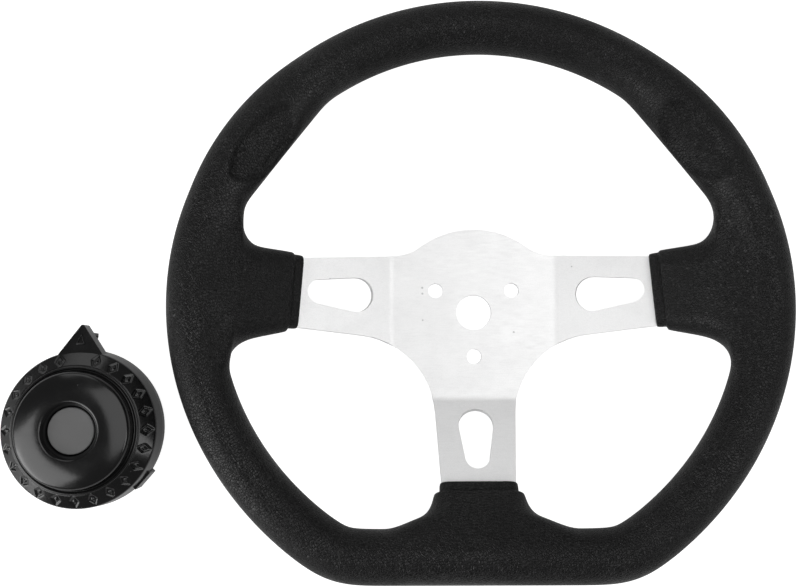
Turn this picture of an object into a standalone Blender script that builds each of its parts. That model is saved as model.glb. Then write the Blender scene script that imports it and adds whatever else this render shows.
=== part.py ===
"""Flat-bottomed three-spoke kart steering wheel, with its clip-on centre cap lying beside it.

Metres, +Z up. Both pieces lie on the plane z = 0: the wheel on the back of its hub with the
driver's side up and 12 o'clock towards +Y, and the cap on the tips of its three clips.
The origin is the middle of the floor area that the two pieces cover together.
"""

import math

import bmesh
import bpy
from mathutils import Matrix, Vector

MM = 0.001
GAP = 0.3 * MM

# Rim: a foam tube on a D-shaped centreline, in polar form about the hub's axis.
RIM_RADIUS = 135.6 * MM
RIM_LOWER_RADIUS = 131.9 * MM
RIM_TIGHTENS_FROM = math.radians(20)
RIM_TIGHTENS_TO = math.radians(-50)
FLAT_DEPTH = 116.5 * MM
CORNER_SOFTNESS = 1.7 * MM
TUBE_RADIUS = 11.5 * MM
RIM_STATIONS = 80
TUBE_SIDES = 14
THUMB_CHORD = 108.2 * MM
THUMB_ANGLE = math.radians(38.1)
THUMB_BULGE = 0.9 * MM

# Hoop inside the foam.
HOOP_RADIUS = 4 * MM
HOOP_SIDES = 8

# Spoke plate: a sheet blank, bent up along one fold for each spoke.
PLATE_THICKNESS = 3 * MM
DISH = 33 * MM
HUB_ARC_RADIUS = 42 * MM
HUB_ARC_DROP = 3 * MM
HUB_FILLET = 20 * MM
CENTRE_HOLE_RADIUS = 8.1 * MM
BOLT_CIRCLE_RADIUS = 20.5 * MM
BOLT_HOLE_RADIUS = 3.4 * MM
SIDE_FOLD = 36.8 * MM
BOTTOM_FOLD = 37.4 * MM
BEND_RADIUS = 10 * MM
SIDE_SLOPE = math.radians(20.8)
BOTTOM_SLOPE = math.radians(25)
SIDE_END = 117 * MM
BOTTOM_END = 100 * MM
SIDE_TOP_EDGE = (26.7 * MM, -0.058)
SIDE_LOWER_EDGE = (-16.4 * MM, 0.108)
BOTTOM_EDGE = (21.3 * MM, -0.0617)
WEB_FILLET = 38 * MM
SLOT_WIDE_RADIUS = 7.9 * MM
SLOT_NARROW_RADIUS = 5.5 * MM
SIDE_SLOT = ((55.7 * MM, 8 * MM), (73.4 * MM, 9.1 * MM))
BOTTOM_SLOT = ((0, -53.4 * MM), (0, -68.4 * MM))

# Boots: the foam that runs down each spoke. Stations are (run, shift towards 12 o'clock,
# half width, half thickness), from the mouth of the boot into the rim.
COLLAR_RUN = 4 * MM
SIDE_BOOT = (
    (0, 0, 16.3 * MM, 4.3 * MM),
    (COLLAR_RUN, 0, 16.5 * MM, 4.6 * MM),
    (COLLAR_RUN + GAP, -0.5 * MM, 17.8 * MM, 6 * MM),
    (12 * MM, -1.8 * MM, 19.5 * MM, 7.2 * MM),
    (20.5 * MM, -2.9 * MM, 21.2 * MM, 8.6 * MM),
    (25.5 * MM, -2.7 * MM, 24.3 * MM, 9.4 * MM),
    (29 * MM, -1.5 * MM, 30.5 * MM, 10 * MM),
    (34 * MM, 0, 35 * MM, 10.2 * MM),
    (44 * MM, 0, 36 * MM, 10.2 * MM),
)
BOTTOM_BOOT = (
    (0, 0, 17.2 * MM, 4.3 * MM),
    (COLLAR_RUN, 0, 17.3 * MM, 4.6 * MM),
    (COLLAR_RUN + GAP, 0, 19.6 * MM, 6 * MM),
    (11 * MM, 0, 21.2 * MM, 8 * MM),
    (14.5 * MM, 0, 24.6 * MM, 9.2 * MM),
    (17.5 * MM, 0, 31 * MM, 9.8 * MM),
    (27 * MM, 0, 33 * MM, 9.8 * MM),
)
SIDE_BOOT_START = (79.6 * MM, 8.9 * MM)
BOTTOM_BOOT_START = 76.6 * MM
SIDE_BOOT_TURN = math.radians(4.7)
BOOT_SIDES = 16

# Lugs welded to the hoop, each riveted on the plate's end.
LUG_THICKNESS = 3 * MM
LUG_HALF_WIDTH = 8 * MM
SIDE_LUG_RUN = (23 * MM, 42.4 * MM)
BOTTOM_LUG_RUN = (9.5 * MM, 27.2 * MM)
WELD_ROOM = 3 * MM
RIVET_SPREAD = 4.4 * MM
RIVET_RADIUS = 2 * MM
RIVET_HEAD_RADIUS = 3.4 * MM
RIVET_HEAD_HEIGHT = 1.5 * MM

# Centre cap, lying to the left of the wheel. Heights are measured from its flange's edge.
CAP_OFFSET = Vector((-178.4 * MM, -52.5 * MM, 0))
FLANGE_RADIUS = 35 * MM
SKIRT_RADIUS = 35.8 * MM
SKIRT_DEPTH = 11.3 * MM
CLIP_DEPTH = 16 * MM
CAP_WALL = 2.2 * MM
CAP_SEGMENTS = 48
POINTER_REACH = 47.2 * MM
POINTER_HALF_WIDTH = 9.9 * MM
POINTER_DROP = 1.8 * MM
POINTER_THICKNESS = 7.5 * MM
BADGE_RADIUS = 10.3 * MM
BADGE_THICKNESS = 1 * MM
RECESS_FLOOR = 7.8 * MM
CLIP_THICKNESS = 1.3 * MM
SIDE_CLIP_INNER = 34.9 * MM
TOP_CLIP_INNER = 42.4 * MM
BARB_REACH = 1.8 * MM
BARB_TOP = -14.6 * MM

RIM_HEIGHT = DISH + PLATE_THICKNESS / 2
WHEEL_CENTRE = Vector(
    (
        (SKIRT_RADIUS - CAP_OFFSET.x - RIM_RADIUS) / 2,
        (FLAT_DEPTH - RIM_RADIUS) / 2,
        0,
    )
)


# Scene helpers -----------------------------------------------------------------------------


def clear_scene():
    for obj in list(bpy.data.objects):
        bpy.data.objects.remove(obj, do_unlink=True)


def make_material(name, colour, roughness, metallic=0.0):
    material = bpy.data.materials.new(name)
    material.use_nodes = True
    shader = material.node_tree.nodes["Principled BSDF"]
    shader.inputs["Base Color"].default_value = (*colour, 1)
    shader.inputs["Roughness"].default_value = roughness
    shader.inputs["Metallic"].default_value = metallic
    return material


def make_empty(name, location):
    empty = bpy.data.objects.new(name, None)
    empty.location = location
    bpy.context.scene.collection.objects.link(empty)
    return empty


def make_object(name, bm, parent, material=None):
    """A named object from a bmesh, with outward faces, on an empty."""
    bmesh.ops.recalc_face_normals(bm, faces=bm.faces)
    mesh = bpy.data.meshes.new(name)
    bm.to_mesh(mesh)
    bm.free()
    mesh.shade_smooth()
    mesh.set_sharp_from_angle(angle=math.radians(35))
    obj = bpy.data.objects.new(name, mesh)
    bpy.context.scene.collection.objects.link(obj)
    obj.parent = parent
    if material:
        mesh.materials.append(material)
    return obj


def boolean(target, tool, operation):
    """Adds one exact Boolean and hides its tool."""
    modifier = target.modifiers.new(f"{operation.lower()}_{tool.name}", "BOOLEAN")
    modifier.operation = operation
    modifier.object = tool
    tool.hide_render = True
    tool.display_type = "WIRE"


# Mesh helpers ------------------------------------------------------------------------------


def loft(bm, rings, closed=False):
    """Skins equal rings of points. An open run gets a cap at each end."""
    loops = [[bm.verts.new(point) for point in ring] for ring in rings]
    pairs = list(zip(loops, loops[1:]))
    if closed:
        pairs.append((loops[-1], loops[0]))
    for first, second in pairs:
        count = len(first)
        for i in range(count):
            j = (i + 1) % count
            bm.faces.new((first[i], first[j], second[j], second[i]))
    if not closed:
        bm.faces.new(loops[0])
        bm.faces.new(loops[-1])


def prism(bm, outline, low, high):
    """A solid with the same outline at two heights."""
    loft(bm, [[(x, y, z) for x, y in outline] for z in (low, high)])


def arc(centre, radius, start, end, steps):
    """Points of a circular arc, angles in radians."""
    angles = [start + (end - start) * i / steps for i in range(steps + 1)]
    return [
        (centre[0] + radius * math.cos(a), centre[1] + radius * math.sin(a))
        for a in angles
    ]


def circle(centre, radius, count):
    return arc(centre, radius, 0, 2 * math.pi, count)[:-1]


def place_box(bm, matrix, low, high):
    """A box between two corners, given in the frame of a matrix."""
    size = Vector(high) - Vector(low)
    middle = (Vector(high) + Vector(low)) / 2
    made = bmesh.ops.create_cube(bm, size=1)["verts"]
    bmesh.ops.scale(bm, vec=size, verts=made)
    bmesh.ops.transform(bm, matrix=matrix @ Matrix.Translation(middle), verts=made)


def mirror_in_x(points):
    return [(-x, y) for x, y in reversed(points)]


# Spoke frames ------------------------------------------------------------------------------


def frame_matrix(origin, along, normal):
    """Columns: along the spoke, across it, out of the plate's upper face, and the origin."""
    across = normal.cross(along)
    matrix = Matrix((along, across, normal)).transposed().to_4x4()
    matrix.translation = origin
    return matrix


def plate_height(run, fold, slope):
    """Height of the plate's middle surface at a plan distance from the hub's axis."""
    bend_middle = fold + BEND_RADIUS * math.tan(slope / 2)
    return PLATE_THICKNESS / 2 + (run - bend_middle) * math.tan(slope)


def side_frame():
    """The right-hand spoke's frame at the mouth of its boot."""
    x, y = SIDE_BOOT_START
    origin = Vector((x, y, plate_height(x, SIDE_FOLD, SIDE_SLOPE)))
    run = math.cos(SIDE_BOOT_TURN)
    along = Vector((run, math.sin(SIDE_BOOT_TURN), run * math.tan(SIDE_SLOPE)))
    normal = Vector((-math.sin(SIDE_SLOPE), 0, math.cos(SIDE_SLOPE)))
    return frame_matrix(origin, along.normalized(), normal)


def bottom_frame():
    """The six o'clock spoke's frame at the mouth of its boot."""
    height = plate_height(BOTTOM_BOOT_START, BOTTOM_FOLD, BOTTOM_SLOPE)
    origin = Vector((0, -BOTTOM_BOOT_START, height))
    along = Vector((0, -math.cos(BOTTOM_SLOPE), math.sin(BOTTOM_SLOPE)))
    normal = Vector((0, math.sin(BOTTOM_SLOPE), math.cos(BOTTOM_SLOPE)))
    return frame_matrix(origin, along, normal)


def spoke_frames():
    """(name, frame, boot stations, lug run) of each spoke. The left frame is left-handed."""
    mirror = Matrix.Scale(-1, 4, Vector((1, 0, 0)))
    right = side_frame()
    return (
        ("right", right, SIDE_BOOT, SIDE_LUG_RUN),
        ("left", mirror @ right, SIDE_BOOT, SIDE_LUG_RUN),
        ("bottom", bottom_frame(), BOTTOM_BOOT, BOTTOM_LUG_RUN),
    )


# Rim ---------------------------------------------------------------------------------------


def outer_radius(angle):
    """Radius of the rim's outer edge, without the flat, at an angle from +X."""
    t = (RIM_TIGHTENS_FROM - angle) / (RIM_TIGHTENS_FROM - RIM_TIGHTENS_TO)
    t = min(max(t, 0), 1)
    return RIM_RADIUS - (RIM_RADIUS - RIM_LOWER_RADIUS) * t * t * (3 - 2 * t)


def rim_point(turn):
    """Centreline point. The turn runs from -90 to 270 degrees and is symmetric about +Y."""
    angle = turn if turn <= math.pi / 2 else math.pi - turn
    radius = outer_radius(angle) - TUBE_RADIUS
    if angle < 0:
        to_flat = (FLAT_DEPTH - TUBE_RADIUS) / -math.sin(angle)
        nearer = min(radius, to_flat)
        further = max(radius, to_flat)
        blend = math.exp((nearer - further) / CORNER_SOFTNESS)
        radius = nearer - CORNER_SOFTNESS * math.log(1 + blend)
    return Vector((radius * math.cos(turn), radius * math.sin(turn), RIM_HEIGHT))


def thumb_widening(turn):
    """(outward, inward) growth of the section at the two thumb rests."""
    angle = turn if turn <= math.pi / 2 else math.pi - turn
    off = angle - THUMB_ANGLE
    if abs(off) > math.radians(40):
        return 0, 0
    inner = RIM_RADIUS - 2 * TUBE_RADIUS
    inward = max(0, inner - THUMB_CHORD / math.cos(off))
    share = inward / (inner - THUMB_CHORD)
    return THUMB_BULGE * share, inward


def rim_rings(section_radius, sides, widen):
    """Rings of section points round the rim's centreline."""
    step = math.tau / RIM_STATIONS
    rings = []
    for i in range(RIM_STATIONS):
        turn = -math.pi / 2 + i * step
        ahead = rim_point(turn + step / 8 if i < RIM_STATIONS - 1 else turn)
        behind = rim_point(turn - step / 8 if i > 0 else turn)
        tangent = (ahead - behind).normalized()
        outward = Vector((tangent.y, -tangent.x, 0))
        if i == 0:
            outward = Vector((0, -1, 0))
        grow_out, grow_in = thumb_widening(turn) if widen else (0, 0)
        ring = []
        for j in range(sides):
            t = math.tau * j / sides
            grow = grow_out if math.cos(t) > 0 else grow_in
            reach = (section_radius + grow) * math.cos(t)
            point = rim_point(turn) + outward * reach
            point.z += section_radius * math.sin(t)
            ring.append(point)
        rings.append(ring)
    return rings


def boot_rings(frame, stations):
    """Rounded-box sections along a spoke, from the boot's mouth into the rim."""
    rings = []
    for run, shift, half_width, half_thickness in stations:
        ring = []
        for j in range(BOOT_SIDES):
            t = math.tau * (j + 0.5) / BOOT_SIDES
            c, s = math.cos(t), math.sin(t)
            across = shift + half_width * math.copysign(abs(c) ** 0.45, c)
            up = half_thickness * math.copysign(abs(s) ** 0.6, s)
            ring.append(frame @ Vector((run, across, up)))
        rings.append(ring)
    return rings


def make_rim(wheel, foam_material, hoop_material):
    bm = bmesh.new()
    loft(bm, rim_rings(TUBE_RADIUS, TUBE_SIDES, True), closed=True)
    foam = make_object("rim_foam", bm, wheel, foam_material)

    bm = bmesh.new()
    loft(bm, rim_rings(HOOP_RADIUS, HOOP_SIDES, False), closed=True)
    make_object("rim_hoop", bm, wheel, hoop_material)

    for name, frame, stations, _ in spoke_frames():
        bm = bmesh.new()
        loft(bm, boot_rings(frame, stations))
        boolean(foam, make_object(f"boot_{name}", bm, wheel), "UNION")

    bm = bmesh.new()
    loft(bm, rim_rings(HOOP_RADIUS + GAP, HOOP_SIDES, False), closed=True)
    boolean(foam, make_object("hoop_tunnel", bm, wheel), "DIFFERENCE")
    return foam


# Spoke plate -------------------------------------------------------------------------------


def fillet(corner, before, after, radius, steps):
    """Arc that rounds the corner between two points' straight lines."""
    corner = Vector(corner)
    back = (Vector(before) - corner).normalized()
    ahead = (Vector(after) - corner).normalized()
    half = back.angle(ahead) / 2
    middle = corner + (back + ahead).normalized() * radius / math.sin(half)
    start = corner + back * radius / math.tan(half) - middle
    turn = start.angle_signed(corner + ahead * radius / math.tan(half) - middle)
    points = []
    for i in range(steps + 1):
        offset = start.copy()
        offset.rotate(Matrix.Rotation(-turn * i / steps, 2))
        points.append(tuple(middle + offset))
    return points


def right_half_outline():
    """The blank's edge from 12 o'clock round to 6 o'clock, clockwise."""
    top_y, top_slope = SIDE_TOP_EDGE
    low_y, low_slope = SIDE_LOWER_EDGE
    edge_x, edge_slope = BOTTOM_EDGE
    start_x = SIDE_FOLD

    hub_centre = (0, -HUB_ARC_DROP)
    rise = top_y + HUB_FILLET + HUB_ARC_DROP
    reach = math.sqrt((HUB_ARC_RADIUS + HUB_FILLET) ** 2 - rise**2)
    leave = math.atan2(rise, reach)
    points = arc(hub_centre, HUB_ARC_RADIUS, math.pi / 2, leave, 14)
    fillet_centre = (reach, top_y + HUB_FILLET)
    points += arc(
        fillet_centre, HUB_FILLET, leave - math.pi, -math.pi / 2 + math.atan(top_slope), 6
    )[1:]

    points.append((SIDE_END, top_y + (SIDE_END - start_x) * top_slope))
    lower_end = (SIDE_END, low_y + SIDE_END * low_slope)
    points.append(lower_end)

    # Where the side spoke's lower edge line meets the bottom spoke's edge line.
    corner_y = (low_y + low_slope * edge_x) / (1 - low_slope * -edge_slope)
    corner = (edge_x - edge_slope * corner_y, corner_y)
    bottom_end = (edge_x + edge_slope * BOTTOM_END, -BOTTOM_END)
    points += fillet(corner, lower_end, bottom_end, WEB_FILLET, 12)
    points.append(bottom_end)
    return points


def slot_outline(wide, narrow):
    """A tapered slot with round ends."""
    wide, narrow = Vector(wide), Vector(narrow)
    line = narrow - wide
    lean = math.acos((SLOT_WIDE_RADIUS - SLOT_NARROW_RADIUS) / line.length)
    heading = math.atan2(line.y, line.x)
    points = arc(narrow, SLOT_NARROW_RADIUS, heading - lean, heading + lean, 10)
    points += arc(
        wide, SLOT_WIDE_RADIUS, heading + lean, heading - lean + math.tau, 14
    )
    return points


def bent(point):
    """Folds one point of the flat blank up along its spoke."""
    x, y, z = point
    if abs(x) > SIDE_FOLD:
        run, fold, slope = abs(x), SIDE_FOLD, SIDE_SLOPE
    elif -y > BOTTOM_FOLD:
        run, fold, slope = -y, BOTTOM_FOLD, BOTTOM_SLOPE
    else:
        return Vector((x, y, z))
    depth = z - PLATE_THICKNESS / 2
    past = run - fold
    turn = min(past / BEND_RADIUS, slope)
    straight = max(0, past - BEND_RADIUS * slope)
    run = fold + (BEND_RADIUS - depth) * math.sin(turn) + straight * math.cos(slope)
    lift = BEND_RADIUS - (BEND_RADIUS - depth) * math.cos(turn)
    z = PLATE_THICKNESS / 2 + lift + straight * math.sin(slope)
    if fold == SIDE_FOLD:
        return Vector((math.copysign(run, x), y, z))
    return Vector((x, -run, z))


def bend_blank(bm):
    """Cuts the blank into strips along the folds, then folds it."""
    planes = []
    for i in range(5):
        side = SIDE_FOLD + BEND_RADIUS * SIDE_SLOPE * i / 4
        planes += [((side, 0, 0), (1, 0, 0)), ((-side, 0, 0), (1, 0, 0))]
        low = BOTTOM_FOLD + BEND_RADIUS * BOTTOM_SLOPE * i / 4
        planes.append(((0, -low, 0), (0, 1, 0)))
    for point, normal in planes:
        everything = [*bm.verts, *bm.edges, *bm.faces]
        bmesh.ops.bisect_plane(bm, geom=everything, plane_co=point, plane_no=normal)
    bmesh.ops.triangulate(bm, faces=bm.faces)
    for vert in bm.verts:
        vert.co = bent(vert.co)


def punched_blank(outline, holes, low, high):
    """A bmesh of the blank with its holes cut, still flat."""
    bm = bmesh.new()
    prism(bm, outline, low, high)
    blank = make_object("blank", bm, None)
    bm = bmesh.new()
    for hole in holes:
        prism(bm, hole, low - 5 * MM, high + 5 * MM)
    punch = make_object("punch", bm, None)
    boolean(blank, punch, "DIFFERENCE")
    graph = bpy.context.evaluated_depsgraph_get()
    graph.update()
    bm = bmesh.new()
    bm.from_mesh(blank.evaluated_get(graph).to_mesh())
    for helper in (blank, punch):
        bpy.data.objects.remove(helper, do_unlink=True)
    return bm


def make_plate(wheel, material):
    half = right_half_outline()
    outline = half + mirror_in_x(half[1:])
    side_slot = slot_outline(*SIDE_SLOT)
    holes = [
        circle((0, 0), CENTRE_HOLE_RADIUS, 32),
        side_slot,
        mirror_in_x(side_slot),
        slot_outline(*BOTTOM_SLOT),
    ]
    for degrees in (30, 150, 270):
        turn = math.radians(degrees)
        centre = (
            BOLT_CIRCLE_RADIUS * math.cos(turn),
            BOLT_CIRCLE_RADIUS * math.sin(turn),
        )
        holes.append(circle(centre, BOLT_HOLE_RADIUS, 20))
    bm = punched_blank(outline, holes, 0, PLATE_THICKNESS)
    bend_blank(bm)
    make_object("spoke_plate", bm, wheel, material)


def tongue_cutters(wheel):
    """The room that each spoke's end takes in the foam."""
    top_y, top_slope = SIDE_TOP_EDGE
    low_y, low_slope = SIDE_LOWER_EDGE
    edge_x, edge_slope = BOTTOM_EDGE
    start = 72 * MM
    end = SIDE_END + GAP
    right = [
        (start, low_y + start * low_slope - GAP),
        (end, low_y + end * low_slope - GAP),
        (end, top_y + (end - SIDE_FOLD) * top_slope + GAP),
        (start, top_y + (start - SIDE_FOLD) * top_slope + GAP),
    ]
    end = BOTTOM_END + GAP
    near = edge_x + edge_slope * start + GAP
    far = edge_x + edge_slope * end + GAP
    bottom = [(-near, -start), (-far, -end), (far, -end), (near, -start)]
    outlines = {"right": right, "left": mirror_in_x(right), "bottom": bottom}
    for name, outline in outlines.items():
        bm = bmesh.new()
        prism(bm, outline, -GAP, PLATE_THICKNESS + GAP)
        for vert in bm.verts:
            vert.co = bent(vert.co)
        yield make_object(f"tongue_room_{name}", bm, wheel)


# Lugs and rivets ---------------------------------------------------------------------------


def lug_box(run, grow, weld_room=0.0):
    """Two corners of a lug, in its spoke's frame. The weld room reaches on to the hoop."""
    low = PLATE_THICKNESS / 2 + GAP
    high = low + LUG_THICKNESS
    width = LUG_HALF_WIDTH + grow
    end = run[1] + grow + weld_room
    return (run[0] - grow, -width, low - grow), (end, width, high + grow)


def rivet_rings(grow):
    """Rings of a riveted pin: a domed head, the shank, and the closed head, from the top."""
    top = PLATE_THICKNESS / 2 + GAP + LUG_THICKNESS + GAP
    bottom = -PLATE_THICKNESS / 2 - GAP
    head = RIVET_HEAD_RADIUS + grow
    shank = RIVET_RADIUS + grow
    high = RIVET_HEAD_HEIGHT + grow
    profile = (
        (0.45 * head, top + high),
        (0.85 * head, top + 0.7 * high),
        (head, top - grow),
        (shank, top - grow),
        (shank, bottom + grow),
        (head, bottom + grow),
        (0.85 * head, bottom - 0.7 * high),
        (0.45 * head, bottom - high),
    )
    for radius, height in profile:
        ring = circle((0, 0), radius, 12)
        yield [(x, y, height) for x, y in ring]


def make_rivet(name, frame, run, across, wheel, material=None, grow=0.0):
    bm = bmesh.new()
    loft(bm, list(rivet_rings(grow)))
    matrix = frame @ Matrix.Translation((run, across, 0))
    bmesh.ops.transform(bm, matrix=matrix, verts=bm.verts)
    return make_object(name, bm, wheel, material)


def pierce(target, frame, run, across, wheel, name):
    """A clearance hole for one rivet's shank."""
    bm = bmesh.new()
    ring = circle((0, 0), RIVET_RADIUS + GAP, 12)
    prism(bm, ring, -6 * MM, 10 * MM)
    matrix = frame @ Matrix.Translation((run, across, 0))
    bmesh.ops.transform(bm, matrix=matrix, verts=bm.verts)
    boolean(target, make_object(name, bm, wheel), "DIFFERENCE")


def make_lugs(wheel, foam, lug_material, rivet_material):
    """The lugs and rivets, their holes, and the room they take in the foam."""
    plate = bpy.data.objects["spoke_plate"]
    for name, frame, _, run in spoke_frames():
        bm = bmesh.new()
        place_box(bm, frame, *lug_box(run, 0))
        lug = make_object(f"hoop_lug_{name}", bm, wheel, lug_material)
        bm = bmesh.new()
        place_box(bm, frame, *lug_box(run, GAP, WELD_ROOM))
        boolean(foam, make_object(f"lug_room_{name}", bm, wheel), "DIFFERENCE")
        rivet_run = run[0] + 5 * MM
        for number, across in ((1, -RIVET_SPREAD), (2, RIVET_SPREAD)):
            label = f"{name}_{number}"
            make_rivet(f"rivet_{label}", frame, rivet_run, across, wheel, rivet_material)
            room = make_rivet(
                f"rivet_room_{label}", frame, rivet_run, across, wheel, grow=GAP
            )
            boolean(foam, room, "DIFFERENCE")
            pierce(plate, frame, rivet_run, across, wheel, f"plate_drill_{label}")
            pierce(lug, frame, rivet_run, across, wheel, f"lug_drill_{label}")


# Centre cap --------------------------------------------------------------------------------


def dome_profile():
    """(radius, height) down the cap's outer face, from the recess to the skirt's edge."""
    crest = arc((18 * MM, 4.6 * MM), 8.6 * MM, math.radians(112), math.radians(6), 7)
    return [
        (0, RECESS_FLOOR),
        (BADGE_RADIUS + GAP, RECESS_FLOOR),
        (BADGE_RADIUS + GAP, 9.6 * MM),
        (12.4 * MM, 12.2 * MM),
        *crest,
        (27.2 * MM, 5.2 * MM),
        (28.4 * MM, 4.7 * MM),
        (FLANGE_RADIUS - 0.6 * MM, 0.5 * MM),
        (FLANGE_RADIUS, -0.2 * MM),
        (SKIRT_RADIUS, -SKIRT_DEPTH),
    ]


def hollow_profile():
    """(radius, height) up the cap's inside, from the skirt's edge to the axis."""
    inside = FLANGE_RADIUS - CAP_WALL
    crest = arc((18 * MM, 4.4 * MM), 6.2 * MM, math.radians(10), math.radians(100), 4)
    return [
        (inside, -SKIRT_DEPTH),
        (inside, -1.6 * MM),
        (27.4 * MM, 2.2 * MM),
        *crest,
        (12.8 * MM, 9.6 * MM),
        (12.4 * MM, RECESS_FLOOR - CAP_WALL),
        (0, RECESS_FLOOR - CAP_WALL),
    ]


def lathe(bm, profile, segments):
    """Turns a profile whose two ends lie on the Z axis."""
    rings = []
    for i in range(segments):
        turn = math.tau * i / segments
        c, s = math.cos(turn), math.sin(turn)
        rings.append([bm.verts.new((r * c, r * s, z)) for r, z in profile[1:-1]])
    first = bm.verts.new((0, 0, profile[0][1]))
    last = bm.verts.new((0, 0, profile[-1][1]))
    for i in range(segments):
        here, there = rings[i], rings[(i + 1) % segments]
        for a, b, c, d in zip(here, here[1:], there[1:], there):
            bm.faces.new((a, b, c, d))
        bm.faces.new((first, here[0], there[0]))
        bm.faces.new((last, there[-1], here[-1]))


def hull_object(name, points, parent):
    bm = bmesh.new()
    for point in points:
        bm.verts.new(point)
    made = bmesh.ops.convex_hull(bm, input=bm.verts)
    spare = [item for item in made["geom_interior"] if isinstance(item, bmesh.types.BMVert)]
    bmesh.ops.delete(bm, geom=spare, context="VERTS")
    return make_object(name, bm, parent)


def make_pointer(cap):
    """The arrow that continues the sloping flange at 12 o'clock."""
    base = 33 * MM
    thick = POINTER_THICKNESS
    points = []
    for x in (-POINTER_HALF_WIDTH, POINTER_HALF_WIDTH):
        points += [(x, base, 0.2 * MM), (x, base, -thick)]
        points += [(x, base + 0.9 * MM, -0.1 * MM), (x, base + 0.9 * MM, -thick - 0.4 * MM)]
    for height in (-POINTER_DROP, -POINTER_DROP - thick + 0.4 * MM):
        points += [(x, POINTER_REACH, height) for x in (-0.3 * MM, 0.3 * MM)]
    return hull_object("pointer", points, cap)


def make_clip(name, cap, degrees, inner, half_width, root):
    """A spring clip that hooks over the plate's free edge. Root is its (inner radius, top)."""
    turn = Matrix.Rotation(math.radians(degrees), 4, "Z")
    root_inner, root_top = root
    outer = inner + CLIP_THICKNESS
    bm = bmesh.new()
    profile = [
        (outer, root_top),
        (outer, -CLIP_DEPTH),
        (inner - 0.4 * MM, -CLIP_DEPTH),
        (inner - BARB_REACH, BARB_TOP),
        (inner, BARB_TOP),
        (inner, -SKIRT_DEPTH + GAP),
        (root_inner, -SKIRT_DEPTH + GAP),
        (root_inner, root_top),
    ]
    loft(bm, [[(r, side, z) for r, z in profile] for side in (-half_width, half_width)])
    bmesh.ops.transform(bm, matrix=turn, verts=bm.verts)
    return make_object(name, bm, cap)


def make_cap(cap, material, badge_material):
    bm = bmesh.new()
    lathe(bm, dome_profile() + hollow_profile(), CAP_SEGMENTS)
    shell = make_object("cap_shell", bm, cap, material)
    boolean(shell, make_pointer(cap), "UNION")
    skirt_root = (FLANGE_RADIUS - CAP_WALL / 2, -7 * MM)
    for degrees in (221, 319):
        clip = make_clip(
            f"clip_{degrees}", cap, degrees, SIDE_CLIP_INNER, 5 * MM, skirt_root
        )
        boolean(shell, clip, "UNION")
    pointer_root = (TOP_CLIP_INNER, -2.5 * MM)
    clip = make_clip("clip_90", cap, 90, TOP_CLIP_INNER, 2.6 * MM, pointer_root)
    boolean(shell, clip, "UNION")

    bm = bmesh.new()
    low = RECESS_FLOOR + GAP
    ring = circle((0, 0), BADGE_RADIUS, 48)
    soft_ring = circle((0, 0), BADGE_RADIUS - GAP, 48)
    top = low + BADGE_THICKNESS
    rings = [
        [(x, y, low) for x, y in ring],
        [(x, y, top - GAP) for x, y in ring],
        [(x, y, top) for x, y in soft_ring],
    ]
    loft(bm, rings)
    make_object("cap_badge", bm, cap, badge_material)


def main():
    clear_scene()
    wheel = make_empty("wheel_axis", WHEEL_CENTRE)
    cap = make_empty("cap_axis", WHEEL_CENTRE + CAP_OFFSET + Vector((0, 0, CLIP_DEPTH)))

    foam_material = make_material("rim_foam", (0.022, 0.022, 0.024), 0.6)
    hoop_material = make_material("hoop_steel", (0.3, 0.3, 0.31), 0.5, 1)
    plate_material = make_material("plate_aluminium", (0.82, 0.82, 0.83), 0.38, 1)
    rivet_material = make_material("rivet_aluminium", (0.7, 0.7, 0.71), 0.4, 1)
    cap_material = make_material("cap_plastic", (0.012, 0.012, 0.013), 0.12)
    badge_material = make_material("badge_plastic", (0.03, 0.03, 0.032), 0.3)

    make_plate(wheel, plate_material)
    foam = make_rim(wheel, foam_material, hoop_material)
    for cutter in tongue_cutters(wheel):
        boolean(foam, cutter, "DIFFERENCE")
    make_lugs(wheel, foam, hoop_material, rivet_material)
    make_cap(cap, cap_material, badge_material)


main()
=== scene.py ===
"""Looks of a flat-bottomed kart steering wheel and the centre cap that lies beside it.

The foam rim, the spoke plate and the cap are rebuilt as fine meshes over the fixed frame. The
steel inside the foam keeps its own meshes and gets its finish here. All sizes are in metres.
"""

import logging
import math
from collections.abc import Mapping, Sequence
from dataclasses import dataclass, field
from enum import Enum

import bmesh
import bpy
from mathutils import Matrix, Vector


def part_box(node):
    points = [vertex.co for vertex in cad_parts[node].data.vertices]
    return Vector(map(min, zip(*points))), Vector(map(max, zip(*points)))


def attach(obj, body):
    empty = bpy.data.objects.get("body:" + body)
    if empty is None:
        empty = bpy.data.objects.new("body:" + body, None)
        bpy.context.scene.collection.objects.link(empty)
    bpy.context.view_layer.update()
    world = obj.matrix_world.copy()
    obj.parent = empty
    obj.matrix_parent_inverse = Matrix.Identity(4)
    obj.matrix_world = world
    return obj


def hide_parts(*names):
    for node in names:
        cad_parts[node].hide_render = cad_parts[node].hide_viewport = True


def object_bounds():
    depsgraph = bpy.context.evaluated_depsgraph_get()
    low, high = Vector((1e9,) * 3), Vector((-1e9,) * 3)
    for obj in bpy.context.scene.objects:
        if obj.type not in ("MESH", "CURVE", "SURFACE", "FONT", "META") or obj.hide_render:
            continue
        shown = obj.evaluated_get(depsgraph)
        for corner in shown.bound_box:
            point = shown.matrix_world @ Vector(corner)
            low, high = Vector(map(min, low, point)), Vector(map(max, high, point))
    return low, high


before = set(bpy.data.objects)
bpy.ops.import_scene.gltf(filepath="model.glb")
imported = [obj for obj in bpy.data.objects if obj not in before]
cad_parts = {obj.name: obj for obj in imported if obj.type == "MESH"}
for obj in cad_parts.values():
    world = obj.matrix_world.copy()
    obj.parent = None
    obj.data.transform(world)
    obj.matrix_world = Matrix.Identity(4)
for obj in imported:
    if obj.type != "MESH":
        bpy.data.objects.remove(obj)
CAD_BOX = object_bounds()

MM = 0.001
log = logging.getLogger("kart_wheel")

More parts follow.
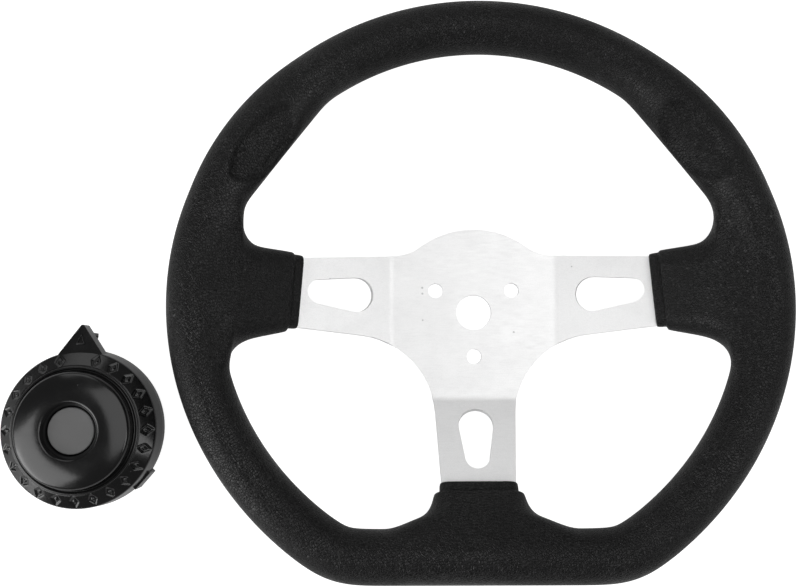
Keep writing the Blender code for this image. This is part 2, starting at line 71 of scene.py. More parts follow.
Socket = bpy.types.NodeSocket
Setting = object
Profile = list[tuple[float, float]]
Colour = tuple[float, float, float, float]


class Body(Enum):
    """The two rigid bodies of the frame."""

    WHEEL = "wheel"
    CAP = "cap"


class Slot(Enum):
    """The record's material slots."""

    FOAM = "foam"
    SPOKE_METAL = "spoke_metal"
    HOOP_STEEL = "hoop_steel"
    RIVET_STEEL = "rivet_steel"
    CAP_PLASTIC = "cap_plastic"
    CAP_INSERT = "cap_insert"


def near_grey(value: float, blue: float | None = None) -> Colour:
    """Gives a neutral colour, or one whose blue differs a little.

    Args:
        value: Its red and green.
        blue: Its blue, where that isn't the same.

    Returns:
        The colour.
    """
    return (value, value, value if blue is None else blue, 1)


# Node helpers --------------------------------------------------------------------------------


class Graph:
    """Adds nodes to one node tree and links them as it goes."""

    def __init__(self, tree: bpy.types.NodeTree) -> None:
        """Starts on an empty tree.

        Args:
            tree: The node tree, whose nodes are cleared.
        """
        tree.nodes.clear()
        self.tree = tree

    def feed(self, target: Socket, value: Setting) -> None:
        """Links or sets one input.

        Args:
            target: The input.
            value: A socket to link from, or a plain value.
        """
        if isinstance(value, Socket):
            self.tree.links.new(value, target)
        else:
            target.default_value = value

    def node(
        self, kind: str, inputs: Mapping[str | int, Setting] | None = None, **settings: Setting
    ) -> bpy.types.Node:
        """Adds a node.

        Args:
            kind: The node's type name.
            inputs: Socket name or number to a socket to link from, or to a plain value.
            **settings: The node's own properties.

        Returns:
            The node.
        """
        node = self.tree.nodes.new(kind)
        for name, value in settings.items():
            setattr(node, name, value)
        for key, value in (inputs or {}).items():
            self.feed(node.inputs[key], value)
        return node

    def math(self, operation: str, *values: Setting, clamp: bool = False) -> Socket:
        """Adds a Math node.

        Args:
            operation: Its operation.
            *values: Its inputs in order, sockets or numbers.
            clamp: Whether the result is held between 0 and 1.

        Returns:
            The result's socket.
        """
        inputs = dict(enumerate(values))
        node = self.node("ShaderNodeMath", inputs, operation=operation, use_clamp=clamp)
        return node.outputs[0]

    def product(self, first: Setting, *others: Setting) -> Socket:
        """Multiplies numbers in order.

        Args:
            first: The first number.
            *others: The others.

        Returns:
            The product's socket.
        """
        for other in others:
            first = self.math("MULTIPLY", first, other)
        return first

    def vector(self, operation: str, first: Setting, second: Setting) -> Socket:
        """Adds a Vector Math node.

        Args:
            operation: Its operation.
            first: Its first vector.
            second: Its second vector, or the factor of a SCALE.

        Returns:
            The result's socket.
        """
        inputs = {0: first, "Scale" if operation == "SCALE" else 1: second}
        return self.node("ShaderNodeVectorMath", inputs, operation=operation).outputs[0]

    def noise(
        self, vector: Socket, scale: Setting, detail: float, **more: float
    ) -> bpy.types.NodeOutputs:
        """Adds a Noise Texture.

        Args:
            vector: The coordinates it reads.
            scale: Its scale.
            detail: Its detail.
            **more: Its other inputs.

        Returns:
            Its outputs.
        """
        inputs = {"Vector": vector, "Scale": scale, "Detail": detail, **more}
        return self.node("ShaderNodeTexNoise", inputs).outputs

    def ramp(
        self, value: Setting, low: float, high: float, out_low: float, out_high: float
    ) -> Socket:
        """Adds a smooth ramp.

        Args:
            value: What is read.
            low: The reading where the ramp starts.
            high: The reading where it ends.
            out_low: The result at the start.
            out_high: The result at the end.

        Returns:
            The result's socket.
        """
        inputs = dict(enumerate((value, low, high, out_low, out_high)))
        return self.node("ShaderNodeMapRange", inputs, interpolation_type="SMOOTHSTEP").outputs[0]

    def mix_colour(self, factor: Setting, first: Setting, second: Setting) -> Socket:
        """Adds a colour Mix node.

        Args:
            factor: How much of the second colour shows.
            first: The first colour.
            second: The second colour.

        Returns:
            The mixed colour's socket.
        """
        inputs = {0: factor, 6: first, 7: second}
        return self.node("ShaderNodeMix", inputs, data_type="RGBA").outputs[2]

    def end(self, made: bpy.types.Node, geometry: Socket, finish: Socket) -> None:
        """Ends a Geometry Nodes tree: smooth, made real and given its material.

        Args:
            made: The tree's output node.
            geometry: The geometry.
            finish: Its material.
        """
        shaded = self.node("GeometryNodeSetShadeSmooth", {"Geometry": geometry})
        real = self.node("GeometryNodeRealizeInstances", {0: shaded.outputs[0]})
        inputs = {"Geometry": real.outputs[0], "Material": finish}
        self.feed(made.inputs[0], self.node("GeometryNodeSetMaterial", inputs).outputs[0])


def new_group(
    kind: str, name: str, inputs: Mapping[str, tuple[str, Setting]], outputs: Mapping[str, str]
) -> tuple[Graph, bpy.types.NodeOutputs, bpy.types.Node]:
    """Makes a node group with its interface.

    Args:
        kind: The tree's type, for shaders or for geometry.
        name: The group's name.
        inputs: Input name to its kind of socket and default, where None leaves the default.
        outputs: Output name to its kind of socket.

    Returns:
        The graph of its tree, its inputs and its output node.
    """
    tree = bpy.data.node_groups.new(name, kind)
    for label, (socket, default) in inputs.items():
        made = tree.interface.new_socket(label, in_out="INPUT", socket_type=f"NodeSocket{socket}")
        if default is not None:
            made.default_value = default
    for label, socket in outputs.items():
        tree.interface.new_socket(label, in_out="OUTPUT", socket_type=f"NodeSocket{socket}")
    graph = Graph(tree)
    return graph, graph.node("NodeGroupInput").outputs, graph.node("NodeGroupOutput")


def shader_group(
    name: str, values: Mapping[str, Setting], outputs: Sequence[str]
) -> tuple[Graph, bpy.types.NodeOutputs, bpy.types.Node]:
    """Makes a shader node group that reads a Vector and gives numbers.

    Args:
        name: The group's name.
        values: The name and default of each further input, a number or a vector.
        outputs: The outputs' names.

    Returns:
        The graph of its tree, its inputs and its output node.
    """
    inputs = {"Vector": ("Vector", None)}
    for label, value in values.items():
        inputs[label] = ("Float" if isinstance(value, float) else "Vector", value)
    return new_group("ShaderNodeTree", name, inputs, dict.fromkeys(outputs, "Float"))


class SurfaceEffects:
    """The shader node groups that the finishes share, each built once."""

    def __init__(self) -> None:
        """Builds the four groups."""
        self.hide_grain = self._hide_grain()
        self.specks = self._specks()
        self.brushing = self._brushing()
        self.handling = self._handling()

    @staticmethod
    def _hide_grain() -> bpy.types.NodeTree:
        """Builds the pebbled grain of moulded skin.

        Returns:
            The group: Height of the pebbles, and Crease, which is 1 in the folds between them.
        """
        graph, given, made = shader_group(
            "Hide grain", {"Pebbles per metre": 700.0, "Wander": 0.6}, ("Height", "Crease")
        )
        vector, count = given["Vector"], given["Pebbles per metre"]
        drift = graph.noise(vector, graph.product(count, 0.45), 2.0)
        swing = graph.vector("SUBTRACT", drift["Color"], (0.5, 0.5, 0.5))
        push = graph.vector("SCALE", swing, graph.math("DIVIDE", given["Wander"], count))
        pebbles = graph.node(
            "ShaderNodeTexVoronoi",
            {"Vector": graph.vector("ADD", vector, push), "Scale": count, "Randomness": 1.0},
            feature="DISTANCE_TO_EDGE",
        )
        fold = graph.ramp(pebbles.outputs["Distance"], 0.0, 0.22, 0.0, 1.0)
        pores = graph.noise(vector, graph.product(count, 3.1), 3.0)
        graph.feed(made.inputs["Height"], graph.math("MULTIPLY_ADD", pores[0], 0.35, fold))
        graph.feed(made.inputs["Crease"], graph.math("SUBTRACT", 1.0, fold))
        return graph.tree

    @staticmethod
    def _specks() -> bpy.types.NodeTree:
        """Builds scattered specks of dust or pitting.

        Returns:
            The group: Mask, which is 1 on a speck.
        """
        graph, given, made = shader_group(
            "Scattered specks", {"Cells per metre": 220.0, "Share": 0.1, "Size": 0.12}, ("Mask",)
        )
        cells = graph.node(
            "ShaderNodeTexVoronoi", {"Vector": given["Vector"], "Scale": given["Cells per metre"]}
        ).outputs
        lot = graph.node("ShaderNodeSeparateColor", {0: cells["Color"]}).outputs[0]
        chosen = graph.math("LESS_THAN", lot, given["Share"])
        near = graph.math("LESS_THAN", cells["Distance"], given["Size"])
        graph.feed(made.inputs["Mask"], graph.product(chosen, near))
        return graph.tree

    @staticmethod
    def _brushing() -> bpy.types.NodeTree:
        """Builds fine lines left by a roller or a brush.

        Returns:
            The group: Lines, from 0 to 1 across the metal.
        """
        graph, given, made = shader_group(
            "Brushed lines", {"Lines per metre": 3500.0, "Stretch": (0.03, 1.0, 1.0)}, ("Lines",)
        )
        stretched = graph.vector("MULTIPLY", given["Vector"], given["Stretch"])
        lines = graph.noise(stretched, given["Lines per metre"], 3.0, Roughness=0.6)
        graph.feed(made.inputs["Lines"], lines[0])
        return graph.tree

    @staticmethod
    def _handling() -> bpy.types.NodeTree:
        """Builds broad patches rubbed by hands, with hairline scratches.

        Returns:
            The group: Rubbed and Scratches, each 1 where the mark is.
        """
        graph, given, made = shader_group(
            "Handling marks",
            {"Patches per metre": 25.0, "Scratches per metre": 90.0},
            ("Rubbed", "Scratches"),
        )
        vector = given["Vector"]
        patches = graph.noise(vector, given["Patches per metre"], 4.0, Roughness=0.6)
        veins = graph.noise(vector, given["Scratches per metre"], 1.0, Distortion=1.5)
        off = graph.math("ABSOLUTE", graph.math("SUBTRACT", veins[0], 0.5))
        graph.feed(made.inputs["Rubbed"], graph.ramp(patches[0], 0.42, 0.66, 0.0, 1.0))
        graph.feed(made.inputs["Scratches"], graph.ramp(off, 0.0, 0.006, 1.0, 0.0))
        return graph.tree


# Finishes ------------------------------------------------------------------------------------


@dataclass(frozen=True)
class Coat:
    """A material in the making: its graph, its shader, its coordinates and the shared groups."""

    graph: Graph
    shader: bpy.types.Node
    place: Socket
    effects: SurfaceEffects

    def effect(self, tree: bpy.types.NodeTree, **values: Setting) -> bpy.types.NodeOutputs:
        """Places a shared group.

        Args:
            tree: The group.
            **values: Its inputs, with underscores for the spaces of their names.

        Returns:
            The group's outputs.
        """
        inputs = {label.replace("_", " "): value for label, value in values.items()}
        inputs["Vector"] = self.place
        return self.graph.node("ShaderNodeGroup", inputs, node_tree=tree).outputs

    def tint(self, under: Setting, mask: Socket, share: float, over: Colour) -> Socket:
        """Lays one colour over another.

        Args:
            under: The lower colour.
            mask: 1 where the upper colour lies.
            share: How much of it shows there.
            over: The upper colour.

        Returns:
            The mixed colour's socket.
        """
        return self.graph.mix_colour(self.graph.product(mask, share), under, over)

    def feed(self, **values: Setting) -> None:
        """Links or sets the shader's inputs.

        Args:
            **values: The inputs, with underscores for the spaces of their names.
        """
        for label, value in values.items():
            self.graph.feed(self.shader.inputs[label.replace("_", " ")], value)

    def bump(self, height: Socket, depth: float) -> None:
        """Feeds a height to the shader's normal.

        Args:
            height: The height, from about 0 to 1.
            depth: What a height of 1 stands for, in metres.
        """
        inputs = {"Height": height, "Distance": depth, "Strength": 1.0}
        self.feed(Normal=self.graph.node("ShaderNodeBump", inputs).outputs[0])


class Finish:
    """A material with a Principled shader that reads the piece's own coordinates."""

    name: str

    def build(self, effects: SurfaceEffects) -> bpy.types.Material:
        """Makes the material.

        Args:
            effects: The shared node groups.

        Returns:
            The material.
        """
        material = bpy.data.materials.new(self.name)
        material.use_nodes = True
        graph = Graph(material.node_tree)
        shader = graph.node("ShaderNodeBsdfPrincipled")
        graph.node("ShaderNodeOutputMaterial", {"Surface": shader.outputs[0]})
        place = graph.node("ShaderNodeTexCoord").outputs["Object"]
        self.dress(Coat(graph, shader, place, effects))
        return material

    def dress(self, coat: Coat) -> None:
        """Adds the finish's own nodes.

        Args:
            coat: The material in the making.
        """
        raise NotImplementedError


@dataclass(frozen=True)
class FoamSkin(Finish):
    """Black self-skinned foam with a leather grain, lighter in random rubbed patches, and a painted
    highlight beside the thumb rests.
    """

    name: str = "foam_skin"
    dark: Colour = near_grey(0.0022, 0.0023)
    pale: Colour = near_grey(0.0042, 0.0043)
    # Colour of the painted highlight beside the thumb rests.
    painted_highlight: Colour = near_grey(0.018, 0.0182)
    folded: Colour = near_grey(0.004)
    fold_share: float = 0.6
    dust: Colour = near_grey(0.09)
    dust_share: float = 0.5
    roughness: tuple[float, float] = (0.44, 0.3)
    polish_gloss: float = 0.06
    specular: float = 0.28
    grain_depth: float = 0.23 * MM

    def dress(self, coat: Coat) -> None:
        """Adds grain, rubbed patches, a painted highlight beside the thumb rests and specks of
        dust.

        Args:
            coat: The material in the making.
        """
        graph, shared = coat.graph, coat.effects
        grain = coat.effect(shared.hide_grain, Pebbles_per_metre=850.0, Wander=0.9)
        marks = coat.effect(shared.handling, Patches_per_metre=22.0, Scratches_per_metre=40.0)
        specks = coat.effect(shared.specks, Cells_per_metre=130.0, Share=0.05, Size=0.07)
        polish = graph.node("ShaderNodeAttribute", attribute_name="polish").outputs["Fac"]
        colour = graph.mix_colour(marks["Rubbed"], self.dark, self.pale)
        # Painted highlight: the colour goes towards pale grey where the stored mask beside the
        # thumb rests is high.
        colour = graph.mix_colour(polish, colour, self.painted_highlight)
        colour = coat.tint(colour, grain["Crease"], self.fold_share, self.folded)
        colour = coat.tint(colour, specks["Mask"], self.dust_share, self.dust)
        rough = graph.ramp(marks["Rubbed"], 0.0, 1.0, *self.roughness)
        rough = graph.math("MULTIPLY_ADD", polish, -self.polish_gloss, rough)
        coat.feed(Base_Color=colour, Roughness=rough, Specular_IOR_Level=self.specular)
        coat.bump(grain["Height"], self.grain_depth)


@dataclass(frozen=True)
class SatinSheet(Finish):
    """Pale satin metal sheet with faint rolling lines and a few dark pits."""

    name: str = "satin_sheet"
    pale: Colour = near_grey(0.97)
    dull: Colour = near_grey(0.94)
    line: Colour = near_grey(0.6)
    line_share: float = 0.12
    tooth: Colour = near_grey(0.5)
    tooth_share: float = 0.09
    pit: Colour = near_grey(0.32)
    pit_share: float = 0.5
    roughness: tuple[float, float] = (0.51, 0.62)
    metallic: float = 0.9
    line_depth: float = 0.006 * MM

    def dress(self, coat: Coat) -> None:
        """Adds rolling lines, dull patches, a fine tooth and pits.

        Args:
            coat: The material in the making.
        """
        graph, shared = coat.graph, coat.effects
        lines = coat.effect(shared.brushing, Lines_per_metre=1600.0, Stretch=(0.12, 1.0, 1.0))
        marks = coat.effect(shared.handling, Patches_per_metre=60.0, Scratches_per_metre=30.0)
        pits = coat.effect(shared.specks, Cells_per_metre=260.0, Share=0.03, Size=0.13)
        tooth = coat.effect(shared.hide_grain, Pebbles_per_metre=1500.0, Wander=1.0)
        colour = graph.mix_colour(marks["Rubbed"], self.pale, self.dull)
        colour = coat.tint(colour, lines["Lines"], self.line_share, self.line)
        colour = coat.tint(colour, tooth["Crease"], self.tooth_share, self.tooth)
        colour = coat.tint(colour, pits["Mask"], self.pit_share, self.pit)
        rough = graph.ramp(lines["Lines"], 0.3, 0.7, *self.roughness)
        coat.feed(Base_Color=colour, Roughness=rough, Metallic=self.metallic)
        coat.bump(lines["Lines"], self.line_depth)


@dataclass(frozen=True)
class BareSteel(Finish):
    """Drawn or headed steel, greyer in its patches."""

    name: str
    bright: Colour = near_grey(0.5, 0.51)
    tarnished: Colour = near_grey(0.32, 0.33)
    roughness: tuple[float, float] = (0.3, 0.48)
    line_depth: float = 0.01 * MM

    def dress(self, coat: Coat) -> None:
        """Adds drawing lines and grey patches.

        Args:
            coat: The material in the making.
        """
        graph, shared = coat.graph, coat.effects
        lines = coat.effect(shared.brushing, Lines_per_metre=2500.0, Stretch=(0.2, 0.2, 1.0))
        marks = coat.effect(shared.handling, Patches_per_metre=120.0, Scratches_per_metre=200.0)
        colour = graph.mix_colour(marks["Rubbed"], self.bright, self.tarnished)
        rough = graph.ramp(lines["Lines"], 0.3, 0.7, *self.roughness)
        coat.feed(Base_Color=colour, Roughness=rough, Metallic=1.0)
        coat.bump(lines["Lines"], self.line_depth)


@dataclass(frozen=True)
class MouldedPlastic(Finish):
    """Moulded plastic with hairline scratches, smears and dust."""

    name: str
    colour: Colour
    smeared: Colour
    roughness: tuple[float, float]
    rubbed_share: float = 0.5
    scratch_share: float = 0.25
    dust: Colour = near_grey(0.2)
    dust_share: float = 0.3
    ripple_depth: float = 0.004 * MM

    def dress(self, coat: Coat) -> None:
        """Adds smears, hairlines, dust and the slight ripple of the moulding.

        Args:
            coat: The material in the making.
        """
        graph, shared = coat.graph, coat.effects
        marks = coat.effect(shared.handling, Patches_per_metre=70.0, Scratches_per_metre=110.0)
        dust = coat.effect(shared.specks, Cells_per_metre=420.0, Share=0.05, Size=0.09)
        ripple = coat.effect(shared.hide_grain, Pebbles_per_metre=260.0, Wander=1.0)
        hair = graph.product(marks["Scratches"], self.scratch_share)
        worn = graph.math("MULTIPLY_ADD", marks["Rubbed"], self.rubbed_share, hair, clamp=True)
        colour = graph.mix_colour(worn, self.colour, self.smeared)
        colour = coat.tint(colour, dust["Mask"], self.dust_share, self.dust)
        coat.feed(Base_Color=colour, Roughness=graph.ramp(worn, 0.0, 1.0, *self.roughness))
        coat.bump(ripple["Height"], self.ripple_depth)


@dataclass(frozen=True)
class PaleFloor(Finish):
    """A white table that glows a little, and looks lit through so that shadows stay faint."""

    name: str = "pale_floor"
    shade: Colour = near_grey(0.5)
    glow: float = 0.15
    seen_glow: float = 0.9

    def dress(self, coat: Coat) -> None:
        """Sets a plain pale colour with its glow.

        Args:
            coat: The material in the making.
        """
        graph = coat.graph
        seen = graph.node("ShaderNodeLightPath").outputs["Is Camera Ray"]
        strength = graph.math("MULTIPLY_ADD", seen, self.seen_glow - self.glow, self.glow)
        coat.feed(Base_Color=self.shade, Roughness=0.9, Specular_IOR_Level=0.0)
        coat.feed(Emission_Color=near_grey(1.0), Emission_Strength=strength)


# Mesh helpers --------------------------------------------------------------------------------


def link_mesh(name: str, bm: bmesh.types.BMesh, material: bpy.types.Material) -> bpy.types.Object:
    """Turns a bmesh into a smooth-shaded object with outward faces.

    Args:
        name: The piece's name.
        bm: The mesh, which is freed.
        material: Its finish.

    Returns:
        The object, at the origin.
    """
    bmesh.ops.recalc_face_normals(bm, faces=bm.faces)
    mesh = bpy.data.meshes.new(name)
    bm.to_mesh(mesh)
    bm.free()
    mesh.materials.append(material)
    mesh.shade_smooth()
    obj = bpy.data.objects.new(name, mesh)
    bpy.context.scene.collection.objects.link(obj)
    return obj


def settle(obj: bpy.types.Object) -> None:
    """Turns an object and its live modifiers into a plain mesh.

    Args:
        obj: The object, which keeps its name.
    """
    bpy.context.view_layer.update()
    graph = bpy.context.evaluated_depsgraph_get()
    mesh = bpy.data.meshes.new_from_object(obj.evaluated_get(graph))
    materials = [slot.material for slot in obj.material_slots if slot.material]
    obj.modifiers.clear()
    obj.data = mesh
    if not mesh.materials:
        for material in materials:
            mesh.materials.append(material)


def skin(bm: bmesh.types.BMesh, loops: Sequence[Sequence[bmesh.types.BMVert]]) -> None:
    """Joins equal closed loops of vertices with quads.

    Args:
        bm: The mesh.
        loops: The loops in order.
    """
    for first, second in zip(loops, loops[1:]):
        count = len(first)
        for i in range(count):
            j = (i + 1) % count
            bm.faces.new((first[i], first[j], second[j], second[i]))


def arc(
    centre: tuple[float, float], radius: float, start: float, end: float, steps: int
) -> Profile:
    """Points of a circular arc.

    Args:
        centre: Its centre.
        radius: Its radius.
        start: The angle of its first point, in degrees.
        end: The angle of its last point, in degrees.
        steps: The number of stretches between points.

    Returns:
        The points.
    """
    turns = [math.radians(start + (end - start) * i / steps) for i in range(steps + 1)]
    return [(centre[0] + radius * math.cos(t), centre[1] + radius * math.sin(t)) for t in turns]


def set_inputs(modifier: bpy.types.NodesModifier, values: Mapping[str, Setting]) -> None:
    """Sets a Geometry Nodes modifier's inputs.

    Args:
        modifier: The modifier, with its group.
        values: Input name to value.
    """
    for item in modifier.node_group.interface.items_tree:
        if item.item_type == "SOCKET" and item.in_out == "INPUT" and item.name in values:
            modifier[item.identifier] = values[item.name]


def finish_piece(obj: bpy.types.Object, body: Body, slot: Slot, *nodes: str) -> None:
    """Ties a finished piece to the frame.

    Args:
        obj: The piece.
        body: The body that it rides on.
        slot: The record's slot that it takes its finish from. Not used.
        *nodes: The frame's nodes that it stands for.
    """
    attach(obj, body.value)
    if nodes:
        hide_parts(*nodes)
    log.info("%s: %d faces", obj.name, len(obj.data.polygons))


def dress_node(name: str, material: bpy.types.Material) -> None:
    """Gives a node of the frame, which keeps its mesh, a finish.

    Args:
        name: The node's name.
        material: The finish.
    """
    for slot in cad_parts[name].material_slots:
        slot.material = material
    log.info("%s: %s", name, material.name)


# Foam rim ------------------------------------------------------------------------------------


@dataclass(frozen=True)
class BootStation:
    """One section of a boot: its plan distance in from the mouth and its reach."""

    run: float
    noon: float
    away: float
    half_thickness: float


@dataclass(frozen=True)
class Boot:
    """One boot: where it leaves the rim and its sections from the rim to the mouth."""

    first_station: int
    matrix: Matrix
    slope: float
    noon_rises: bool
    stations: tuple[BootStation, ...]


@dataclass
class FoamRim:
    """The padded rim with its two thumb rests and three boots, as one skin."""

    material: bpy.types.Material
    rim_radius: float = 135.6 * MM
    lower_radius: float = 131.9 * MM
    tightens_from: float = 20.0
    tightens_to: float = -50.0
    flat_depth: float = 116.5 * MM
    corner_softness: float = 1.7 * MM
    tube_radius: float = 11.5 * MM
    hoop_radius: float = 4 * MM
    thumb_angle: float = 38.1
    thumb_chord: float = 108.2 * MM
    thumb_bulge: float = 0.9 * MM
    stations: int = 144
    sides: int = 16
    boot_span: int = 16
    boot_front: int = 6
    boot_back: int = 12
    side_slope: float = 20.8
    side_turn: float = 4.7
    side_start: tuple[float, float, float] = (79.6 * MM, 8.9 * MM, 17.1 * MM)
    bottom_slope: float = 25.0
    bottom_start: tuple[float, float, float] = (0.0, -76.6 * MM, 18.8 * MM)
    slot_depth: float = 4 * MM
    slot_half_thickness: float = 1.8 * MM
    rest_radius: float = 116.2 * MM
    rest_half_length: float = 20 * MM
    rest_half_width: float = 8.6 * MM
    rest_depth: float = 3.4 * MM
    rest_hollow: float = 0.32
    rest_ridge: float = 0.24
    rest_sag: float = 1.1 * MM
    centre: Vector = field(init=False)

    def __post_init__(self) -> None:
        """Finds the wheel's centre, in the rim's middle plane, from the frame's hoop."""
        low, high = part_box("rim_hoop")
        reach = self.rim_radius - self.tube_radius + self.hoop_radius
        self.centre = Vector(((low.x + high.x) / 2, high.y - reach, (low.z + high.z) / 2))

    def edge_radius(self, angle: float) -> float:
        """Radius of the rim's outer edge before its flat.

        Args:
            angle: Angle from 3 o'clock, in radians, from -90 to 90 degrees.

        Returns:
            The radius.
        """
        from_angle, to_angle = math.radians(self.tightens_from), math.radians(self.tightens_to)
        t = min(max((from_angle - angle) / (from_angle - to_angle), 0), 1)
        return self.rim_radius - (self.rim_radius - self.lower_radius) * t * t * (3 - 2 * t)

    def centreline(self, turn: float) -> Vector:
        """Point of the tube's middle line.

        Args:
            turn: Turn from 3 o'clock, in radians.

        Returns:
            The point, from the wheel's centre.
        """
        angle = math.asin(math.sin(turn))
        radius = self.edge_radius(angle) - self.tube_radius
        if angle < 0:
            to_flat = (self.flat_depth - self.tube_radius) / -math.sin(angle)
            nearer, further = sorted((radius, to_flat))
            blend = math.exp((nearer - further) / self.corner_softness)
            radius = nearer - self.corner_softness * math.log(1 + blend)
        return Vector((radius * math.cos(turn), radius * math.sin(turn), 0))

    def thumb_growth(self, turn: float) -> tuple[float, float]:
        """How much wider the section is beside a thumb rest.

        Args:
            turn: Turn from 3 o'clock, in radians.

        Returns:
            Growth outwards and growth inwards.
        """
        off = math.asin(math.sin(turn)) - math.radians(self.thumb_angle)
        if abs(off) > math.radians(40):
            return 0.0, 0.0
        inner = self.rim_radius - 2 * self.tube_radius
        inward = max(0.0, inner - self.thumb_chord / math.cos(off))
        share = inward / (inner - self.thumb_chord)
        return self.thumb_bulge * share, inward

    def section(self, station: int) -> list[Vector]:
        """Control points of one section, set out a little for the smoothing that follows.

        Args:
            station: Its number, counted from 6 o'clock.

        Returns:
            The points, from the outer edge over the front.
        """
        step = math.tau / self.stations
        turn = -math.pi / 2 + station * step
        ahead = self.centreline(turn + step / 8)
        behind = self.centreline(turn - step / 8)
        tangent = (ahead - behind).normalized()
        outward = Vector((tangent.y, -tangent.x, 0))
        out, inward = self.thumb_growth(turn)
        swell = 1 / (2 / 3 + math.cos(math.tau / self.sides) / 3)
        points = []
        for j in range(self.sides):
            t = math.tau * j / self.sides
            grow = out if math.cos(t) > 0 else inward
            reach = (self.tube_radius * swell + grow) * math.cos(t)
            point = self.centre + self.centreline(turn) + outward * reach
            point.z += self.tube_radius * swell * math.sin(t)
            points.append(point)
        return points

    def boot_matrix(
        self, start: tuple[float, float, float], heading: float, slope: float
    ) -> Matrix:
        """Frame of a boot at its mouth: along the spoke, towards growing turn, and upwards.

        Args:
            start: The mouth's middle, from the hub's back on the wheel's axis.
            heading: Plan direction of the spoke, in degrees from 3 o'clock.
            slope: How steeply the spoke climbs, in degrees.

        Returns:
            The frame.
        """
        plan = Vector((math.cos(math.radians(heading)), math.sin(math.radians(heading)), 0))
        across = Vector((-plan.y, plan.x, 0))
        rise = math.radians(slope)
        along = plan * math.cos(rise) + Vector((0, 0, math.sin(rise)))
        matrix = Matrix((along, across, along.cross(across))).transposed().to_4x4()
        matrix.translation = Vector((self.centre.x, self.centre.y, 0)) + Vector(start)
        return matrix

    @staticmethod
    def boot_stations(
        noon: float, away: float, *rows: tuple[float, float, float, float]
    ) -> tuple[BootStation, ...]:
        """Sections of a boot, with the collar that ends it at its mouth. Sizes in millimetres.

        Args:
            noon: The collar's reach on its noon side.
            away: Its reach on the other side.
            *rows: The sections before the collar: run, both reaches and half thickness.

        Returns:
            The sections.
        """
        collar = ((4.0, 0.0, 4.7), (3.5, 0.0, 4.6), (0.5, 0.1, 4.4), (0.0, 0.6, 3.9))
        rows += tuple((run, noon - pull, away - pull, half) for run, pull, half in collar)
        return tuple(BootStation(*(size * MM for size in row)) for row in rows)

    def boots(self) -> tuple[Boot, ...]:
        """The three boots.

        Returns:
            The right, the left and the bottom boot.
        """
        side = self.boot_stations(
            16.7,
            17.3,
            (27.6, 32.0, 35.6, 10.6),
            (27.0, 26.6, 31.2, 10.4),
            (25.0, 22.2, 27.8, 10.0),
            (21.8, 19.0, 25.0, 9.4),
            (17.5, 18.2, 23.0, 8.6),
            (11.0, 18.0, 21.0, 7.4),
            (5.4, 17.7, 19.2, 6.3),
            (4.3, 17.5, 18.8, 6.0),
        )
        bottom = self.boot_stations(
            17.6,
            17.6,
            (16.0, 31.5, 31.5, 10.4),
            (14.6, 27.4, 27.4, 10.0),
            (12.6, 24.0, 24.0, 9.4),
            (9.4, 21.6, 21.6, 8.2),
            (5.4, 20.3, 20.3, 6.6),
            (4.3, 20.0, 20.0, 6.2),
        )
        x, y, z = self.side_start
        right = self.boot_matrix((x, y, z), self.side_turn, self.side_slope)
        left = self.boot_matrix((-x, y, z), 180 - self.side_turn, self.side_slope)
        down = self.boot_matrix(self.bottom_start, -90, self.bottom_slope)
        return (
            Boot(30, right, self.side_slope, True, side),
            Boot(98, left, self.side_slope, False, side),
            Boot(-8, down, self.bottom_slope, True, bottom),
        )

    def boot_loop(
        self, boot: Boot, run: float, low: float, high: float, thick: float
    ) -> list[Vector]:
        """Points round one section of a boot, front face first.

        Args:
            boot: The boot.
            run: Plan distance from its mouth.
            low: Where the section starts across the spoke.
            high: Where it ends.
            thick: Half its thickness.

        Returns:
            As many points as the rim's opening has.
        """
        end = min(thick, (high - low) / 2)
        front = [
            (low + end + (high - low - 2 * end) * i / self.boot_span, thick)
            for i in range(self.boot_span + 1)
        ]
        turns = self.boot_back - self.boot_front
        outer = arc((high - end, 0), thick, 90, -90, turns)[1:]
        back = [(v, -thick) for v, _ in reversed(front)][1:]
        inner = arc((low + end, 0), thick, -90, -270, turns)[1:-1]
        along = run / math.cos(math.radians(boot.slope))
        return [boot.matrix @ Vector((along, v, w)) for v, w in front + outer + back + inner]

    def cage(self) -> bmesh.types.BMesh:
        """Builds the control mesh of the whole foam.

        Returns:
            The control mesh.
        """
        bm = bmesh.new()
        rings = [[bm.verts.new(p) for p in self.section(i)] for i in range(self.stations)]
        boots = self.boots()
        opened = {
            ((boot.first_station + i) % self.stations, j)
            for boot in boots
            for i in range(self.boot_span)
            for j in range(self.boot_front, self.boot_back)
        }
        for i, ring in enumerate(rings):
            after = rings[(i + 1) % self.stations]
            for j in range(self.sides):
                k = (j + 1) % self.sides
                if (i, j) not in opened:
                    bm.faces.new((ring[j], after[j], after[k], ring[k]))
        for boot in boots:
            self.add_boot(bm, rings, boot)
        loose = [v for v in bm.verts if not v.link_faces]
        bmesh.ops.delete(bm, geom=loose, context="VERTS")
        return bm

